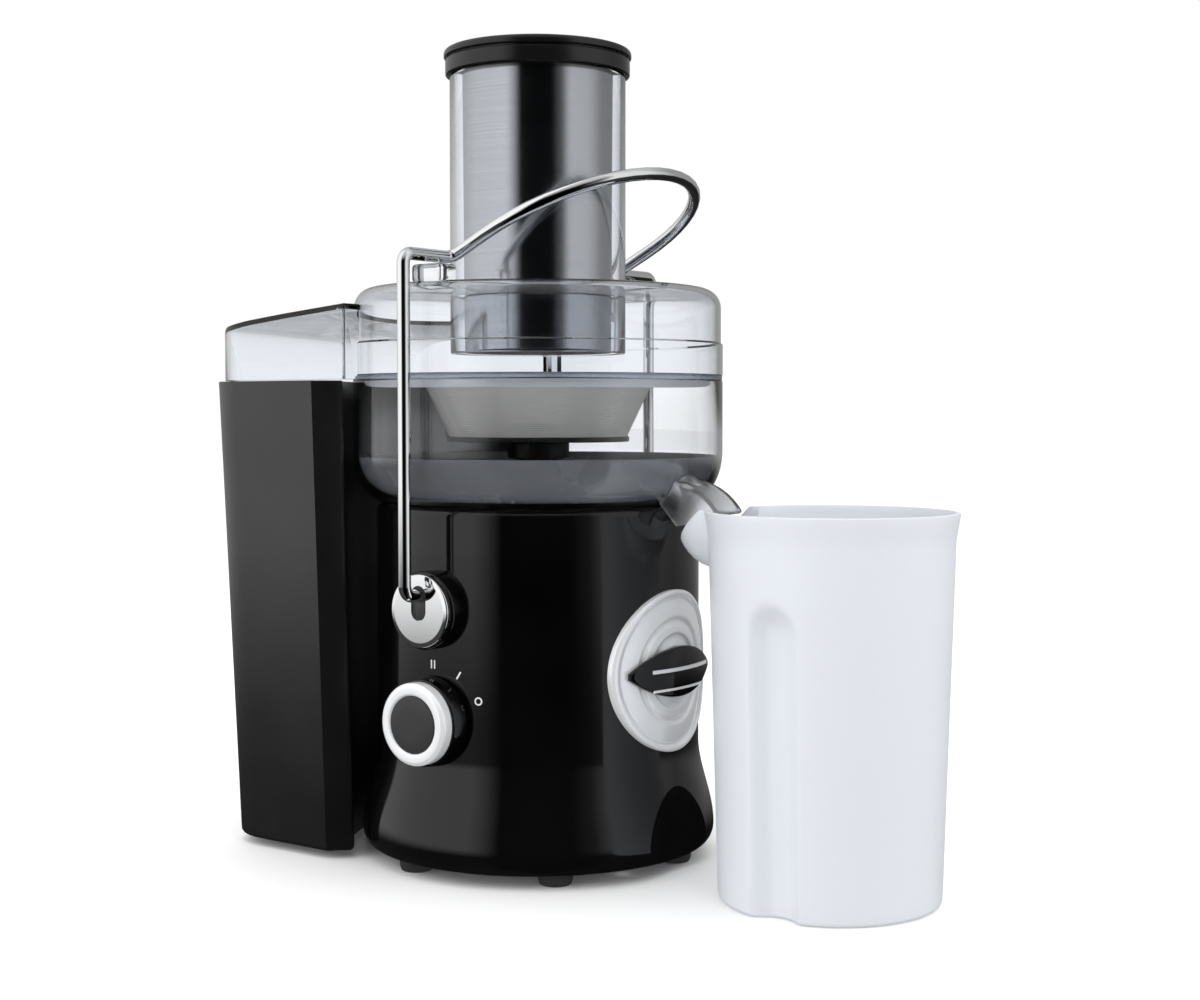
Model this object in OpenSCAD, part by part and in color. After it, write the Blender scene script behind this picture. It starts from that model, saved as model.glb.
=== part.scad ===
// Centrifugal juicer with a wide feed tube, a pulp container and a juice jug.
// Millimetres, +Z up. The object stands on z = 0, the dial is on the -Y side,
// the pulp container on the -X side and the juice jug on the +X side.

/* [Base] */
// Radius of the base's straight wall
body_r = 83; // [78:1:86]
// Height of the deck that carries the bowl
deck_z = 181; // [170:1:190]
// Largest radius of the flared foot
flare_r = 91; // [88:1:94]
// Height at which the flare is widest
flare_z = 15; // [12:1:20]
// Height at which the flare starts
flare_top = 59; // [50:1:59]
// Wall thickness of the base
wall = 3; // [2:0.5:4]
// Height of the rubber feet
foot_h = 6; // [4:1:8]

/* [Bowl and lid] */
// Outer radius of the bowl and of the lid
bowl_r = 95; // [92:1:98]
// Height of the bowl's rim
bowl_top = 243; // [238:1:248]
// Height of the lid's top
lid_top = 290; // [285:1:296]
// Wall thickness of the clear parts
clear_wall = 2.5; // [2:0.5:3]
// Outer radius of the feed tube
tube_r = 45; // [42:1:46]
// Height of the feed tube's mouth
tube_top = 398; // [380:1:400]
// Height of the feed tube's lower end, inside the lid
tube_low = 257; // [252:1:262]

/* [Pusher] */
// Radius of the pusher's steel sleeve
pusher_r = 38; // [36:0.5:40]
// Radius of the pusher's cap
cap_r = 48; // [46:1:50]
// Height of the cap
cap_h = 13; // [10:1:16]

/* [Bail] */
// Radius of the bail's rod
rod_r = 3.1; // [2.8:0.1:3.4]
// Distance of the bail's arms from the centre plane
arm_y = 103; // [102:0.5:104]
// Height of the bail's pivot
pivot_z = 132; // [128:1:136]
// Height of the bail's rod over the lid
saddle_z = 302; // [301:0.5:306]
// Half-width of the bail's loop
loop_r = 68; // [64:1:72]
// Slope of the loop
loop_tilt = 26.5; // [20:0.5:30]

/* [Dial and emblem] */
// Height of the dial's centre
dial_z = 78; // [74:1:82]
// Radius of the dial's face
dial_r = 20; // [18:0.5:22]
// Height of the emblem's centre
emblem_z = 100; // [96:1:104]
// Radius of the emblem
emblem_r = 40; // [36:1:42]

/* [Pulp container] */
// Distance of the container's far side from the base's axis
bin_far = 157; // [150:1:160]
// Half-width of the container
bin_half = 92; // [88:1:94]
// Distance of the container's near edge from the base's axis
bin_near = 59; // [56:1:64]
// Height of the container's bottom
bin_low = 4; // [3.8:0.1:6]

/* [Juice jug] */
// Distance of the jug's axis from the base's axis
jug_x = 172; // [170:1:180]
// Radius of the jug's rim
jug_rim_r = 59; // [56:1:60]
// Radius of the jug's bottom
jug_foot_r = 52; // [50:1:54]
// Height of the jug
jug_h = 181; // [176:1:182]

/* [Hidden] */

$fn = 96;
eps = 0.01;      // overlap of cutters past a face
run = 0.05;      // radial clearance of a running fit
bead = 0.08;     // how far the joints of the bail's rod stand proud
gap = 0.3;       // distance kept between separate bodies
axis_x = (bin_far - jug_x - jug_rim_r) / 2;  // puts the origin under the middle of the whole object

gloss_black = [0.06, 0.06, 0.07];
matt_black = [0.13, 0.13, 0.13];
steel = [0.72, 0.73, 0.75];
bright = [0.9, 0.9, 0.92];
copper = [0.72, 0.42, 0.22];
clear = [0.75, 0.8, 0.88, 0.35];
frost = [0.9, 0.92, 0.96, 0.8];
rubber = [0.08, 0.08, 0.08];

shaft_r = 4;
pin_r = 4;
deck_inner = deck_z - wall;
face_y = body_r + 8;            // front of the pivot bosses
post_r = 5;
post_at = 70;
screw_angles = [44, 164, 224, 344];
foot_angles = [for (i = [0:5]) 14 + 60 * i];
foot_at = 75;
peg_at = 72;
flat_x = body_r + 2.5;          // where the hollow flat beside the jug cuts the foot
flat_r = 150;
cam_off = 2.5;                  // throw of the interlock cam
cam_start = 30;                 // angle of the cam's high point from straight down, at rest
cam_r = 7;
plunger_r = 3;
plunger_top = pivot_z - cam_r - cam_off * cos(cam_start) - 0.2;
cam_y = 72;

// Points of a circular arc
function arc(cx, cy, r, a0, a1, n = 8) =
    [for (i = [0:n]) let (a = a0 + (a1 - a0) * i / n) [cx + r * cos(a), cy + r * sin(a)]];

module at_axis() { translate([axis_x, 0, 0]) children(); }

// Turns a shape that points up so that it points to the front
module to_front(y, z) { translate([0, -y, z]) rotate([90, 0, 0]) children(); }

// A tube between two radii
module ring(h, r_out, r_in) {
    difference() {
        cylinder(h = h, r = r_out);
        translate([0, 0, -eps]) cylinder(h = h + 2 * eps, r = r_in);
    }
}

// A round rod with ball ends between two points
module rod(a, b, r) {
    d = b - a;
    flat = norm([d[0], d[1]]);
    translate(a) rotate([0, atan2(flat, d[2]), atan2(d[1], d[0])]) cylinder(h = norm(d), r = r);
    translate(a) sphere(r = r + bead);
    translate(b) sphere(r = r + bead);
}

// ---------- base ----------

function flare_at(z) =
    let (t = min(1, max(0, (flare_top - z) / (flare_top - flare_z))))
    body_r + (flare_r - body_r) * t * t * (3 - 2 * t);

function housing_profile(inset, top, low) = concat(
    [[0, top]],
    arc(body_r - 4, top - 4 + inset / 2, 4 - inset / 2, 90, 0, 5),
    [for (i = [0:10]) let (z = flare_top - (flare_top - flare_z) * i / 10) [flare_at(z) - inset, z]],
    [for (i = [1:5]) let (a = 90 * i / 5)
        [flare_r - 7 + 7 * cos(a) - inset, flare_z - (flare_z - low) * sin(a)]],
    [[0, low]]);

module housing_body() { rotate_extrude() polygon(housing_profile(0, deck_z, foot_h)); }

// Leaves room for the spout where it passes the deck's edge
module spout_room(extra) {
    translate([spout_x, 0, spout_z]) rotate([0, 90 + spout_dip, 0])
        translate([0, 0, -6]) cylinder(h = spout_len + 6, r = spout_r + extra);
}

module base_housing() {
    color(gloss_black) difference() {
        union() {
            difference() {
                housing_body();
                rotate_extrude() polygon(housing_profile(wall, deck_inner, foot_h - 1));
                // flat where the jug stands against the foot
                translate([flat_x + flat_r, 0, -1]) cylinder(h = flare_top, r = flat_r);
            }
            intersection() {
                housing_body();
                difference() {
                    translate([flat_x + flat_r, 0, foot_h]) cylinder(h = flare_top - 10, r = flat_r + 4);
                    translate([flat_x + flat_r, 0, -1]) cylinder(h = flare_top, r = flat_r);
                }
            }
            for (a = screw_angles) rotate(a) translate([post_at, 0, foot_h + 3.2])
                cylinder(h = deck_inner - foot_h - 3, r = post_r);
            for (s = [-1, 1]) translate([s * mount_x, 0, mount_z + 6])
                cylinder(h = deck_inner - mount_z - 5, r = post_r);
        }
        for (a = screw_angles) rotate(a) translate([post_at, 0, 0]) cylinder(h = 28, r = 1.7);
        for (s = [-1, 1]) translate([s * mount_x, 0, mount_z]) cylinder(h = 16, r = 1.7);
        translate([0, 0, deck_inner - 1]) cylinder(h = wall + 2, r = seal_r);
        // bores for the bail's pins and the dial's spindle
        translate([0, 0, pivot_z]) rotate([90, 0, 0])
            cylinder(h = 2 * face_y, r = pin_r + run, center = true);
        to_front(body_r - 10, dial_z) cylinder(h = 20, r = pin_r + run);
        translate([0, body_r - 12, gland_z]) rotate([-90, 0, 0]) cylinder(h = 30, r = gland_r);
        spout_room(gap);
    }
}

module base_plate() {
    color(matt_black) difference() {
        translate([0, 0, foot_h]) cylinder(h = wall, r = body_r - 2.5);
        translate([flat_x + flat_r, 0, 0]) cylinder(h = 20, r = flat_r + 4.3);
        for (a = screw_angles) rotate(a) translate([post_at, 0, 0]) cylinder(h = 20, r = 1.8);
        for (a = foot_angles) rotate(a) translate([peg_at, 0, 0]) cylinder(h = 20, r = 3);
        // air slots under the motor
        for (i = [-3:3]) translate([i * 9 - 2, -22, 0]) cube([4, 44, 20]);
    }
}

module feet() {
    color(rubber) for (a = foot_angles) rotate(a) {
        translate([foot_at, 0, 0]) cylinder(h = 1.5, r1 = 7.5, r2 = 8.5);
        translate([foot_at, 0, 1.5]) cylinder(h = foot_h - 1.5, r = 8.5);
        translate([peg_at, 0, 1]) cylinder(h = foot_h + wall - 1, r = 2.9);
    }
}

module base_screws() {
    color(steel) for (a = screw_angles) rotate(a) translate([post_at, 0, foot_h]) {
        translate([0, 0, -2]) cylinder(h = 2, r = 3.2);
        cylinder(h = 18, r = 1.6);
    }
}

module pivot_bosses() {
    color(gloss_black) for (s = [0, 180]) rotate(s) to_front(0, pivot_z) difference() {
        cylinder(h = face_y - gap, r = 19);
        translate([0, 0, -1]) cylinder(h = face_y + 2, r = pin_r + run);
        rotate([-90, 0, 0]) translate([0, 0, -pivot_z]) cylinder(h = deck_z + 20, r = body_r, $fn = 96);
    }
}

// A shell that lies on the base's wall, as thick as asked
module on_wall(low, high, z0, h) {
    translate([0, 0, z0]) ring(h, body_r + high, body_r + low);
}

module toward_jug(z) { translate([0, 0, z]) rotate([0, 90, 0]) children(); }

module emblem_plate() {
    color(bright) {
        difference() {
            intersection() {
                on_wall(0, 3, emblem_z - 50, 100);
                toward_jug(emblem_z) cylinder(h = 120, r = emblem_r);
            }
            // groove inside the rim and the stepped rings
            for (r = [[36, 33, 1.2], [33, 25, 0.6], [25, 18, 1.2]]) intersection() {
                on_wall(3 - r[2], 5, emblem_z - 50, 100);
                toward_jug(emblem_z) difference() {
                    cylinder(h = 120, r = r[0]);
                    cylinder(h = 120, r = r[1]);
                }
            }
        }
    }
}

// A lens shape between two arcs, long along the wall
module almond(w, h, deep) {
    r = (w * w / 4 + h * h / 4) / h;
    intersection() {
        translate([r - h / 2, 0, 0]) cylinder(h = deep, r = r);
        translate([h / 2 - r, 0, 0]) cylinder(h = deep, r = r);
        translate([-h / 2, -w / 2 + 2.5, 0]) cube([h, w - 5, deep]);
    }
}

module emblem_badge() {
    color(gloss_black) intersection() {
        on_wall(3, 7, emblem_z - 50, 100);
        toward_jug(emblem_z) almond(72, 25, 120);
    }
}

gland_z = 27;
gland_r = 7;

module cord_gland() {
    color(rubber) translate([0, body_r - 5, gland_z]) rotate([-90, 0, 0]) difference() {
        union() {
            cylinder(h = 18, r = gland_r);
            translate([0, 0, 13.4]) cylinder(h = 5, r = gland_r + 3);
        }
        translate([0, 0, -1]) cylinder(h = 30, r = 3.3);
    }
}

// ---------- motor ----------

mount_x = 58;
mount_z = 126;
bracket_h = 4;
stack_low = 60;
stack_h = 42;
bore_r = 27.5;
seal_r = 11;

module bearing(z) {
    translate([0, 0, z]) ring(7, 11, 4 + run);
}

module upper_bearing() { color(steel) bearing(mount_z - bracket_h - 6); }

module lower_bearing() { color(steel) bearing(22); }

// The bars across the motor each carry a bearing in a cup
module upper_bracket() {
    color([0.7, 0.71, 0.73]) difference() {
        union() {
            translate([-64, -13, mount_z - bracket_h]) cube([128, 26, bracket_h]);
            translate([0, 0, mount_z - bracket_h - 7]) cylinder(h = 11, r = 14);
        }
        translate([0, 0, mount_z - bracket_h - 8]) cylinder(h = 9, r = 11);
        translate([0, 0, mount_z - bracket_h - 8]) cylinder(h = 30, r = 7);
        for (s = [-1, 1], x = [36, mount_x]) translate([s * x, 0, mount_z - 10])
            cylinder(h = 20, r = x > 40 ? 3.6 : 2.2);
    }
}

module lower_bracket() {
    color([0.7, 0.71, 0.73]) difference() {
        union() {
            translate([-44, -13, 18]) cube([88, 26, bracket_h]);
            translate([0, 0, 18]) cylinder(h = 12, r = 14);
            // posts under the brush holders
            for (s = [-1, 1]) translate([s * 25 - 5, -4, 20]) cube([10, 8, 18]);
        }
        translate([0, 0, 22]) cylinder(h = 20, r = 11);
        translate([0, 0, 10]) cylinder(h = 20, r = 7);
        for (s = [-1, 1]) translate([s * 36, 0, 10]) cylinder(h = 20, r = 2.2);
    }
}

module motor_mounts() {
    color(rubber) for (s = [-1, 1]) translate([s * mount_x, 0, mount_z]) difference() {
        union() {
            cylinder(h = 6, r = 8);
            translate([0, 0, -bracket_h]) cylinder(h = bracket_h, r = 3.5);
            translate([0, 0, -bracket_h - 3]) cylinder(h = 3, r = 7);
        }
        translate([0, 0, -10]) cylinder(h = 20, r = 1.8);
    }
}

module motor_screws() {
    color(steel) {
        for (s = [-1, 1]) translate([s * 36, 0, 14]) {
            cylinder(h = 4, r = 4);
            cylinder(h = mount_z - 12, r = 2);
            translate([0, 0, mount_z - 14]) cylinder(h = 3, r = 4, $fn = 6);
        }
        for (s = [-1, 1]) translate([s * mount_x, 0, mount_z - bracket_h - 6]) {
            cylinder(h = 3, r = 3.4);
            cylinder(h = 20, r = 1.6);
        }
    }
}

module field_stack() {
    color([0.5, 0.5, 0.52]) translate([0, 0, stack_low]) difference() {
        intersection() {
            translate([-44, -38, 0]) cube([88, 76, stack_h]);
            cylinder(h = stack_h, r = 50);
        }
        translate([0, 0, -1]) cylinder(h = stack_h + 2, r = bore_r);
        // winding slots beside the two poles
        for (s = [-1, 1], t = [-1, 1]) translate([s * 29.5 - 4.5, t * 19 - 6, -1]) cube([9, 12, stack_h + 2]);
        for (s = [-1, 1]) translate([s * 36, 0, -1]) cylinder(h = stack_h + 2, r = 2.2);
    }
}

module field_coils() {
    end_h = 8.8;
    color(copper) for (s = [0, 180]) rotate(s) {
        for (z = [stack_low - end_h - 0.2, stack_low + stack_h + 0.2])
            translate([-33, 23, z]) cube([66, 8, end_h]);
        for (t = [-1, 1]) translate([t * 29.5 - 3.5, 14, stack_low - end_h - 0.2])
            cube([7, 10, stack_h + 2 * end_h + 0.4]);
    }
}

module commutator() {
    color(copper) translate([0, 0, 36]) ring(18, 13, shaft_r);
}

module brush_holders() {
    color([0.75, 0.6, 0.3]) for (s = [-1, 1]) translate([s * 24, 0, 45]) difference() {
        cube([18, 11, 14], center = true);
        cube([19, 7, 10], center = true);
    }
}

module carbon_brushes() {
    color([0.2, 0.2, 0.2]) for (s = [-1, 1]) translate([s * 22.6, 0, 45])
        cube([18, 6.8, 9.8], center = true);
}

module motor_shaft() {
    color(steel) translate([0, 0, 19]) cylinder(h = 184, r = shaft_r);
}

module armature_core() {
    color([0.45, 0.45, 0.47]) translate([0, 0, stack_low]) difference() {
        cylinder(h = stack_h, r = bore_r - 1);
        translate([0, 0, -1]) cylinder(h = stack_h + 2, r = shaft_r);
        for (i = [0:11]) rotate(30 * i) translate([bore_r - 6, -1.2, -1]) cube([10, 2.4, stack_h + 2]);
    }
}

module armature_coils() {
    color(copper) for (z = [stack_low - 5, stack_low + stack_h])
        translate([0, 0, z]) difference() {
            cylinder(h = 5, r1 = z < stack_low ? 18 : 22, r2 = z < stack_low ? 22 : 18);
            translate([0, 0, -1]) cylinder(h = 7, r = shaft_r + 0.5);
        }
}

module cooling_fan() {
    color(matt_black) translate([0, 0, 146]) difference() {
        union() {
            cylinder(h = 2, r = 34);
            cylinder(h = 12, r = 9);
            for (i = [0:9]) rotate(36 * i) translate([8, -0.8, 0]) cube([26, 1.6, 12]);
        }
        translate([0, 0, -1]) cylinder(h = 20, r = shaft_r);
    }
}

// ---------- controls inside the base ----------

module rotary_switch() {
    color(matt_black) difference() {
        translate([-15, -body_r + 11, dial_z - 15]) cube([30, 14, 30]);
        to_front(50, dial_z) cylinder(h = 40, r = pin_r + run);
    }
}

module interlock_switch() {
    color(matt_black) difference() {
        union() {
            translate([-10, -cam_y - 5, 99]) cube([20, 12, 14]);
            translate([0, -cam_y, 99]) cylinder(h = 18, r = 5);
        }
        translate([0, -cam_y, 104]) cylinder(h = 30, r = plunger_r + run);
    }
}

module interlock_plunger() {
    color(bright) translate([0, -cam_y, 105]) cylinder(h = plunger_top - 105, r = plunger_r);
}

module interlock_cam() {
    color(matt_black) to_front(cam_y - 2.5, pivot_z) difference() {
        translate([-cam_off * sin(cam_start), -cam_off * cos(cam_start), 0]) cylinder(h = 5, r = cam_r);
        translate([0, 0, -1]) cylinder(h = 10, r = pin_r);
    }
}

// ---------- bowl, spout, seal and lid ----------

spout_x = 78;
spout_z = 195;
spout_dip = 38;
spout_len = 21;
spout_r = 11;
cover_x = 89;      // centre of the spout cover's arc
cover_z = 160;
cover_r = 34;

function bowl_curve(inset) =
    [for (i = [0:8]) let (a = 90 * i / 8)
        [bowl_r - 17.5 * (1 - sin(a)) - inset, 207 - (26 - inset) * cos(a)]];

module bowl_solid() {
    rotate_extrude() polygon(concat([[0, deck_z]], bowl_curve(0), [[bowl_r, bowl_top], [0, bowl_top]]));
}

module bowl() {
    color(clear) difference() {
        union() {
            difference() {
                bowl_solid();
                rotate_extrude() polygon(concat([[0, deck_z + clear_wall]], bowl_curve(clear_wall),
                    [[bowl_r - clear_wall, bowl_top + 1], [0, bowl_top + 1]]));
            }
            // collar round the drive and the ring that parts juice from pulp
            translate([0, 0, deck_z]) cylinder(h = 16, r = 19);
            translate([0, 0, deck_z]) ring(20, 62, 60);
        }
        translate([0, 0, deck_z - 1]) cylinder(h = 30, r = 16.5);
        spout_room(-2.2);
        translate([55, -4, deck_z + clear_wall]) cube([10, 8, 20]);
    }
}

module spout_cheek() {
    polygon(concat(arc(cover_x, cover_z, cover_r - 1, 95, 38, 8), [[105, 174], [93, 172], [80, 186]]));
}

module juice_spout() {
    color(clear) difference() {
        union() {
            translate([spout_x, 0, spout_z]) rotate([0, 90 + spout_dip, 0]) cylinder(h = spout_len, r = spout_r);
            rotate([90, 0, 0]) translate([0, 0, -spout_r]) linear_extrude(2 * spout_r)
                polygon(concat(arc(cover_x, cover_z, cover_r, 100, 34, 10),
                    arc(cover_x, cover_z, cover_r - 2.6, 34, 100, 10)));
            for (y = [-spout_r + 2, spout_r]) rotate([90, 0, 0]) translate([0, 0, -y]) linear_extrude(2)
                spout_cheek();
        }
        translate([spout_x, 0, spout_z]) rotate([0, 90 + spout_dip, 0])
            translate([0, 0, -1]) cylinder(h = spout_len + 2, r = spout_r - 2.2);
        bowl_solid();
    }
}

module lid_seal() {
    color([0.25, 0.28, 0.34]) translate([0, 0, bowl_top]) ring(3, bowl_r, bowl_r - 5);
}

lid_low = bowl_top + 3;
bin_top = bowl_top;
chute_low = bin_top + 0.4;
chute_near = 52;

module lid_round(inset) {
    top = lid_top - inset;
    rotate_extrude() polygon(concat([[0, top]],
        arc(bowl_r - 11, top - 10 + inset, 10 - inset, 90, 0, 6),
        [[bowl_r - 1 - inset, 262], [bowl_r - inset, 261.4],
         [bowl_r - inset, lid_low - (inset > 0 ? 1 : 0)], [0, lid_low - (inset > 0 ? 1 : 0)]]));
}

// Outline of the chute and of the container, seen from above
module bin_outline(far, half, near, corner) {
    square_x = far - corner;
    union() {
        translate([-square_x, -half]) square([square_x - near, 2 * half]);
        translate([-far, -half + corner]) square([corner + eps, 2 * (half - corner)]);
        for (s = [-1, 1]) translate([-square_x, s * (half - corner)]) circle(r = corner);
    }
}

module chute_solid(inset) {
    low = chute_low - (inset > 0 ? 1 : 0);
    intersection() {
        translate([0, 0, low]) linear_extrude(60)
            bin_outline(bin_far - 3 - inset, bin_half - 3 - inset, chute_near + inset, 28 - inset);
        rotate([90, 0, 0]) translate([0, 0, -bin_half]) linear_extrude(2 * bin_half)
            polygon(concat([[-bin_far, low]],
                arc(-bin_far + 23, 252, 20 - inset, 180, 106, 6),
                [[-120, 274.2 - inset], [-94, 277 - inset], [-40, 282 - inset], [-40, low]]));
    }
}

module lid() {
    color(clear) difference() {
        union() {
            difference() {
                union() {
                    lid_round(0);
                    chute_solid(0);
                }
                lid_round(clear_wall);
                chute_solid(clear_wall);
            }
            translate([0, 0, tube_low]) cylinder(h = tube_top - tube_low, r = tube_r);
            // catches that the bail presses on
            for (s = [-1, 1]) translate([-9, s * 81 - 7, lid_top - 1]) cube([18, 14, 9]);
        }
        translate([0, 0, tube_low - 1]) cylinder(h = tube_top - tube_low + 2, r = tube_r - 3);
        // room for the seal and the bowl's rim
        translate([0, 0, lid_low - 10]) cylinder(h = 10, r = bowl_r + 0.2);
    }
}

// ---------- basket ----------

basket_z = 212;

module drive_coupling() {
    color(matt_black) translate([0, 0, 184.5]) difference() {
        union() {
            cylinder(h = 4, r = 14);
            cylinder(h = 20, r = 10);
            for (i = [0:5]) rotate(60 * i) translate([9, -1.5, 0]) cube([3.4, 3, 19]);
        }
        translate([0, 0, -1]) cylinder(h = 19.5, r = shaft_r);
    }
}

module basket_hub() {
    color(matt_black) difference() {
        union() {
            translate([0, 0, 203]) cylinder(h = 9, r = 16);
            translate([0, 0, 216.2]) cylinder(h = 3, r1 = 22, r2 = 20);
            translate([0, 0, 211]) cylinder(h = 6, r = 9);
        }
        translate([0, 0, 202]) cylinder(h = 5, r = 13);
    }
}

module basket_floor() {
    color(matt_black) translate([0, 0, basket_z]) ring(2.5, 47, 9);
}

module shredder_disc() {
    color(steel) {
        translate([0, 0, basket_z + 2.6]) ring(1.4, 43, 9);
        // cutting teeth in curved rows
        for (i = [0:7], k = [0:5]) rotate(45 * i + 6 * k) translate([24 + 3.2 * k, 0, basket_z + 3.9])
            rotate([0, 0, 25]) cube([2.4, 0.9, 2], center = false);
    }
}

module cone_wall(r_low, r_high, z_low, z_high, t) {
    rotate_extrude() polygon([[r_low, z_low], [r_high, z_high], [r_high - t, z_high], [r_low - t, z_low]]);
}

module mesh_basket() {
    color(steel) cone_wall(46, 61, basket_z + 2.6, bowl_top - 3, 0.8);
}

module basket_rim() {
    color([0.82, 0.83, 0.85]) rotate_extrude() polygon([[60.4, bowl_top - 3], [88, bowl_top - 3],
        [88.6, bowl_top - 8], [89.4, bowl_top - 8], [89.4, bowl_top], [60.4, bowl_top]]);
}

module shaft_seal() {
    color(rubber) difference() {
        union() {
            translate([0, 0, deck_inner - 2]) cylinder(h = 2, r = seal_r + 3);
            translate([0, 0, deck_inner]) cylinder(h = wall, r = seal_r);
        }
        translate([0, 0, deck_inner - 3]) cylinder(h = 10, r = shaft_r + 0.5);
    }
}

// ---------- bail ----------

leg = 23;          // straight part of the loop before its bend

module bail_side() {
    translate([0, -face_y - 0.2, pivot_z + 7.7]) rotate([90, 0, 0])
        cylinder(h = arm_y - face_y - 0.2, r = rod_r);
    rod([0, -arm_y, pivot_z + 7.7], [0, -arm_y, saddle_z], rod_r);
    rod([0, -arm_y, saddle_z], [0, -loop_r, saddle_z], rod_r);
    translate([0, 0, saddle_z]) rotate([0, -loop_tilt, 0]) translate([0, -loop_r, 0]) {
        rotate([0, 90, 0]) cylinder(h = leg, r = rod_r);
        translate([leg - 0.4, 0, 0]) rotate([0, 90, 0]) cylinder(h = 0.8, r = rod_r + bead);
    }
}

module bail() {
    color(bright) {
        bail_side();
        mirror([0, 1, 0]) bail_side();
        translate([0, 0, saddle_z]) rotate([0, -loop_tilt, 0]) translate([leg, 0, 0]) rotate(-90)
            rotate_extrude(angle = 180) translate([loop_r, 0]) circle(r = rod_r, $fn = 32);
    }
}

module pivot_disc() {
    difference() {
        union() {
            translate([0, 0, face_y]) cylinder(h = 1.6, r = 17.75);
            translate([0, 0, face_y + 1.6]) cylinder(h = 1, r1 = 17.75, r2 = 16.5);
            translate([0, 0, cam_y - 2.5]) cylinder(h = face_y - cam_y + 3, r = pin_r);
        }
        translate([0, 7.7, face_y - 0.25]) cylinder(h = 10, r = rod_r + 0.05);
    }
}

module front_disc() { color(bright) to_front(0, pivot_z) pivot_disc(); }

module rear_disc() { color(bright) mirror([0, 1, 0]) to_front(0, pivot_z) pivot_disc(); }

// ---------- dial ----------

module dial_body() {
    color(gloss_black) to_front(0, dial_z) {
        translate([0, 0, body_r + 0.8]) cylinder(h = 8.5, r1 = dial_r + 2, r2 = dial_r + 1);
        translate([0, 0, body_r + 9]) cylinder(h = 6, r = dial_r - 1);
        translate([0, 0, 62]) cylinder(h = body_r - 60, r = pin_r);
    }
}

module dial_ring() {
    color(bright) to_front(body_r + 9.4, dial_z) difference() {
        union() {
            cylinder(h = 5.6, r = dial_r);
            translate([0, 0, 5.6]) cylinder(h = 1, r1 = dial_r, r2 = dial_r - 1);
        }
        translate([0, 0, -1]) cylinder(h = 6.6, r = dial_r - 1);
        cylinder(h = 10, r = 14);
    }
}

module dial_cap() {
    color(gloss_black) to_front(body_r + 15, dial_z) cylinder(h = 1.4, r1 = 13.9, r2 = 13.6);
}

// ---------- pusher ----------

cap_low = tube_top + 0.2;

module pusher_cap() {
    color(matt_black) difference() {
        union() {
            translate([0, 0, cap_low]) cylinder(h = 8, r = cap_r - 0.8);
            translate([0, 0, cap_low + 8]) cylinder(h = 1, r = cap_r - 2.4);
            rotate_extrude() polygon(concat([[0, cap_low + cap_h]],
                arc(cap_r - 2, cap_low + cap_h - 2.2, 2, 90, 0, 4), [[cap_r, cap_low + 9], [0, cap_low + 9]]));
        }
        translate([0, 0, cap_low - 1]) cylinder(h = 6, r = pusher_r);
    }
}

module pusher_sleeve() {
    color(steel) translate([0, 0, tube_low + 2]) ring(cap_low + 5 - tube_low - 2, pusher_r, pusher_r - 0.8);
}

module pusher_core() {
    color(matt_black) {
        translate([0, 0, tube_low + 0.5]) cylinder(h = 1.5, r = pusher_r);
        translate([0, 0, tube_low + 2]) difference() {
            cylinder(h = cap_low + 5 - tube_low - 2, r = pusher_r - 0.8);
            translate([0, 0, 3]) cylinder(h = 200, r = pusher_r - 3);
        }
    }
}

// ---------- pulp container ----------

bin_taper = 0.92;
bin_slant = [13, 12];
bin_h = bin_top - bin_low;

module bin_shape(inset) {
    difference() {
        bin_outline(bin_far - inset, bin_half - inset, bin_near + inset, 30 - inset);
        circle(r = 101 + inset);
        // slanted corners beside the base
        for (s = [-1, 1]) translate([-bin_near - 0.68 * inset, s * (bin_half - 0.74 * inset)])
            polygon([[-bin_slant.x, 0], [-bin_slant.x, s * 5], [5, s * 5], [5, -s * (bin_slant.y + 5)],
                     [0, -s * bin_slant.y]]);
    }
}

// Grows from the smaller bottom to the full rim
module bin_solid(inset, low) {
    translate([-bin_near, 0, low]) linear_extrude(bin_top - low + (inset > 0 ? 1 : 0), scale = 1 / bin_taper)
        scale([bin_taper, bin_taper]) translate([bin_near, 0]) bin_shape(inset);
}

module pulp_container() {
    color(matt_black) difference() {
        bin_solid(0, bin_low);
        bin_solid(2.5, bin_low + 3);
    }
}

// ---------- juice jug ----------

lip_r = 24;
lip_x = -57;
grip_r = 15;
grip_top = 128;

module jug_cone(inset, low) {
    top = jug_h + (inset > 0 ? 1 : 0);
    rotate_extrude() polygon([[0, low], [jug_foot_r - inset, low], [jug_rim_r - 2 - inset, jug_h - 12],
        [jug_rim_r - inset, top], [0, top]]);
}

module jug_lip(inset) {
    intersection() {
        translate([lip_x, 0, jug_h - 6]) sphere(r = lip_r - inset);
        translate([-100, -50, 0]) cube([100, 100, jug_h + (inset > 0 ? 1 : 0)]);
    }
}

module jug_grips(extra) {
    for (s = [-1, 1]) translate([0, s * (jug_rim_r + 7), -1]) {
        cylinder(h = grip_top, r = grip_r + extra);
        translate([0, 0, grip_top]) sphere(r = grip_r + extra);
    }
}

module juice_jug() {
    color(frost) translate([jug_x, 0, 0]) difference() {
        union() {
            difference() {
                jug_cone(0, 0);
                jug_grips(0);
            }
            jug_lip(0);
        }
        difference() {
            union() {
                jug_cone(2.2, 3);
                jug_lip(2.2);
            }
            jug_grips(2.2);
        }
        // sloping edge of the lip
        translate([lip_x - 1, -40, jug_h]) rotate([0, -42, 0]) translate([-60, 0, 0]) cube([60, 80, 50]);
    }
}

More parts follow.
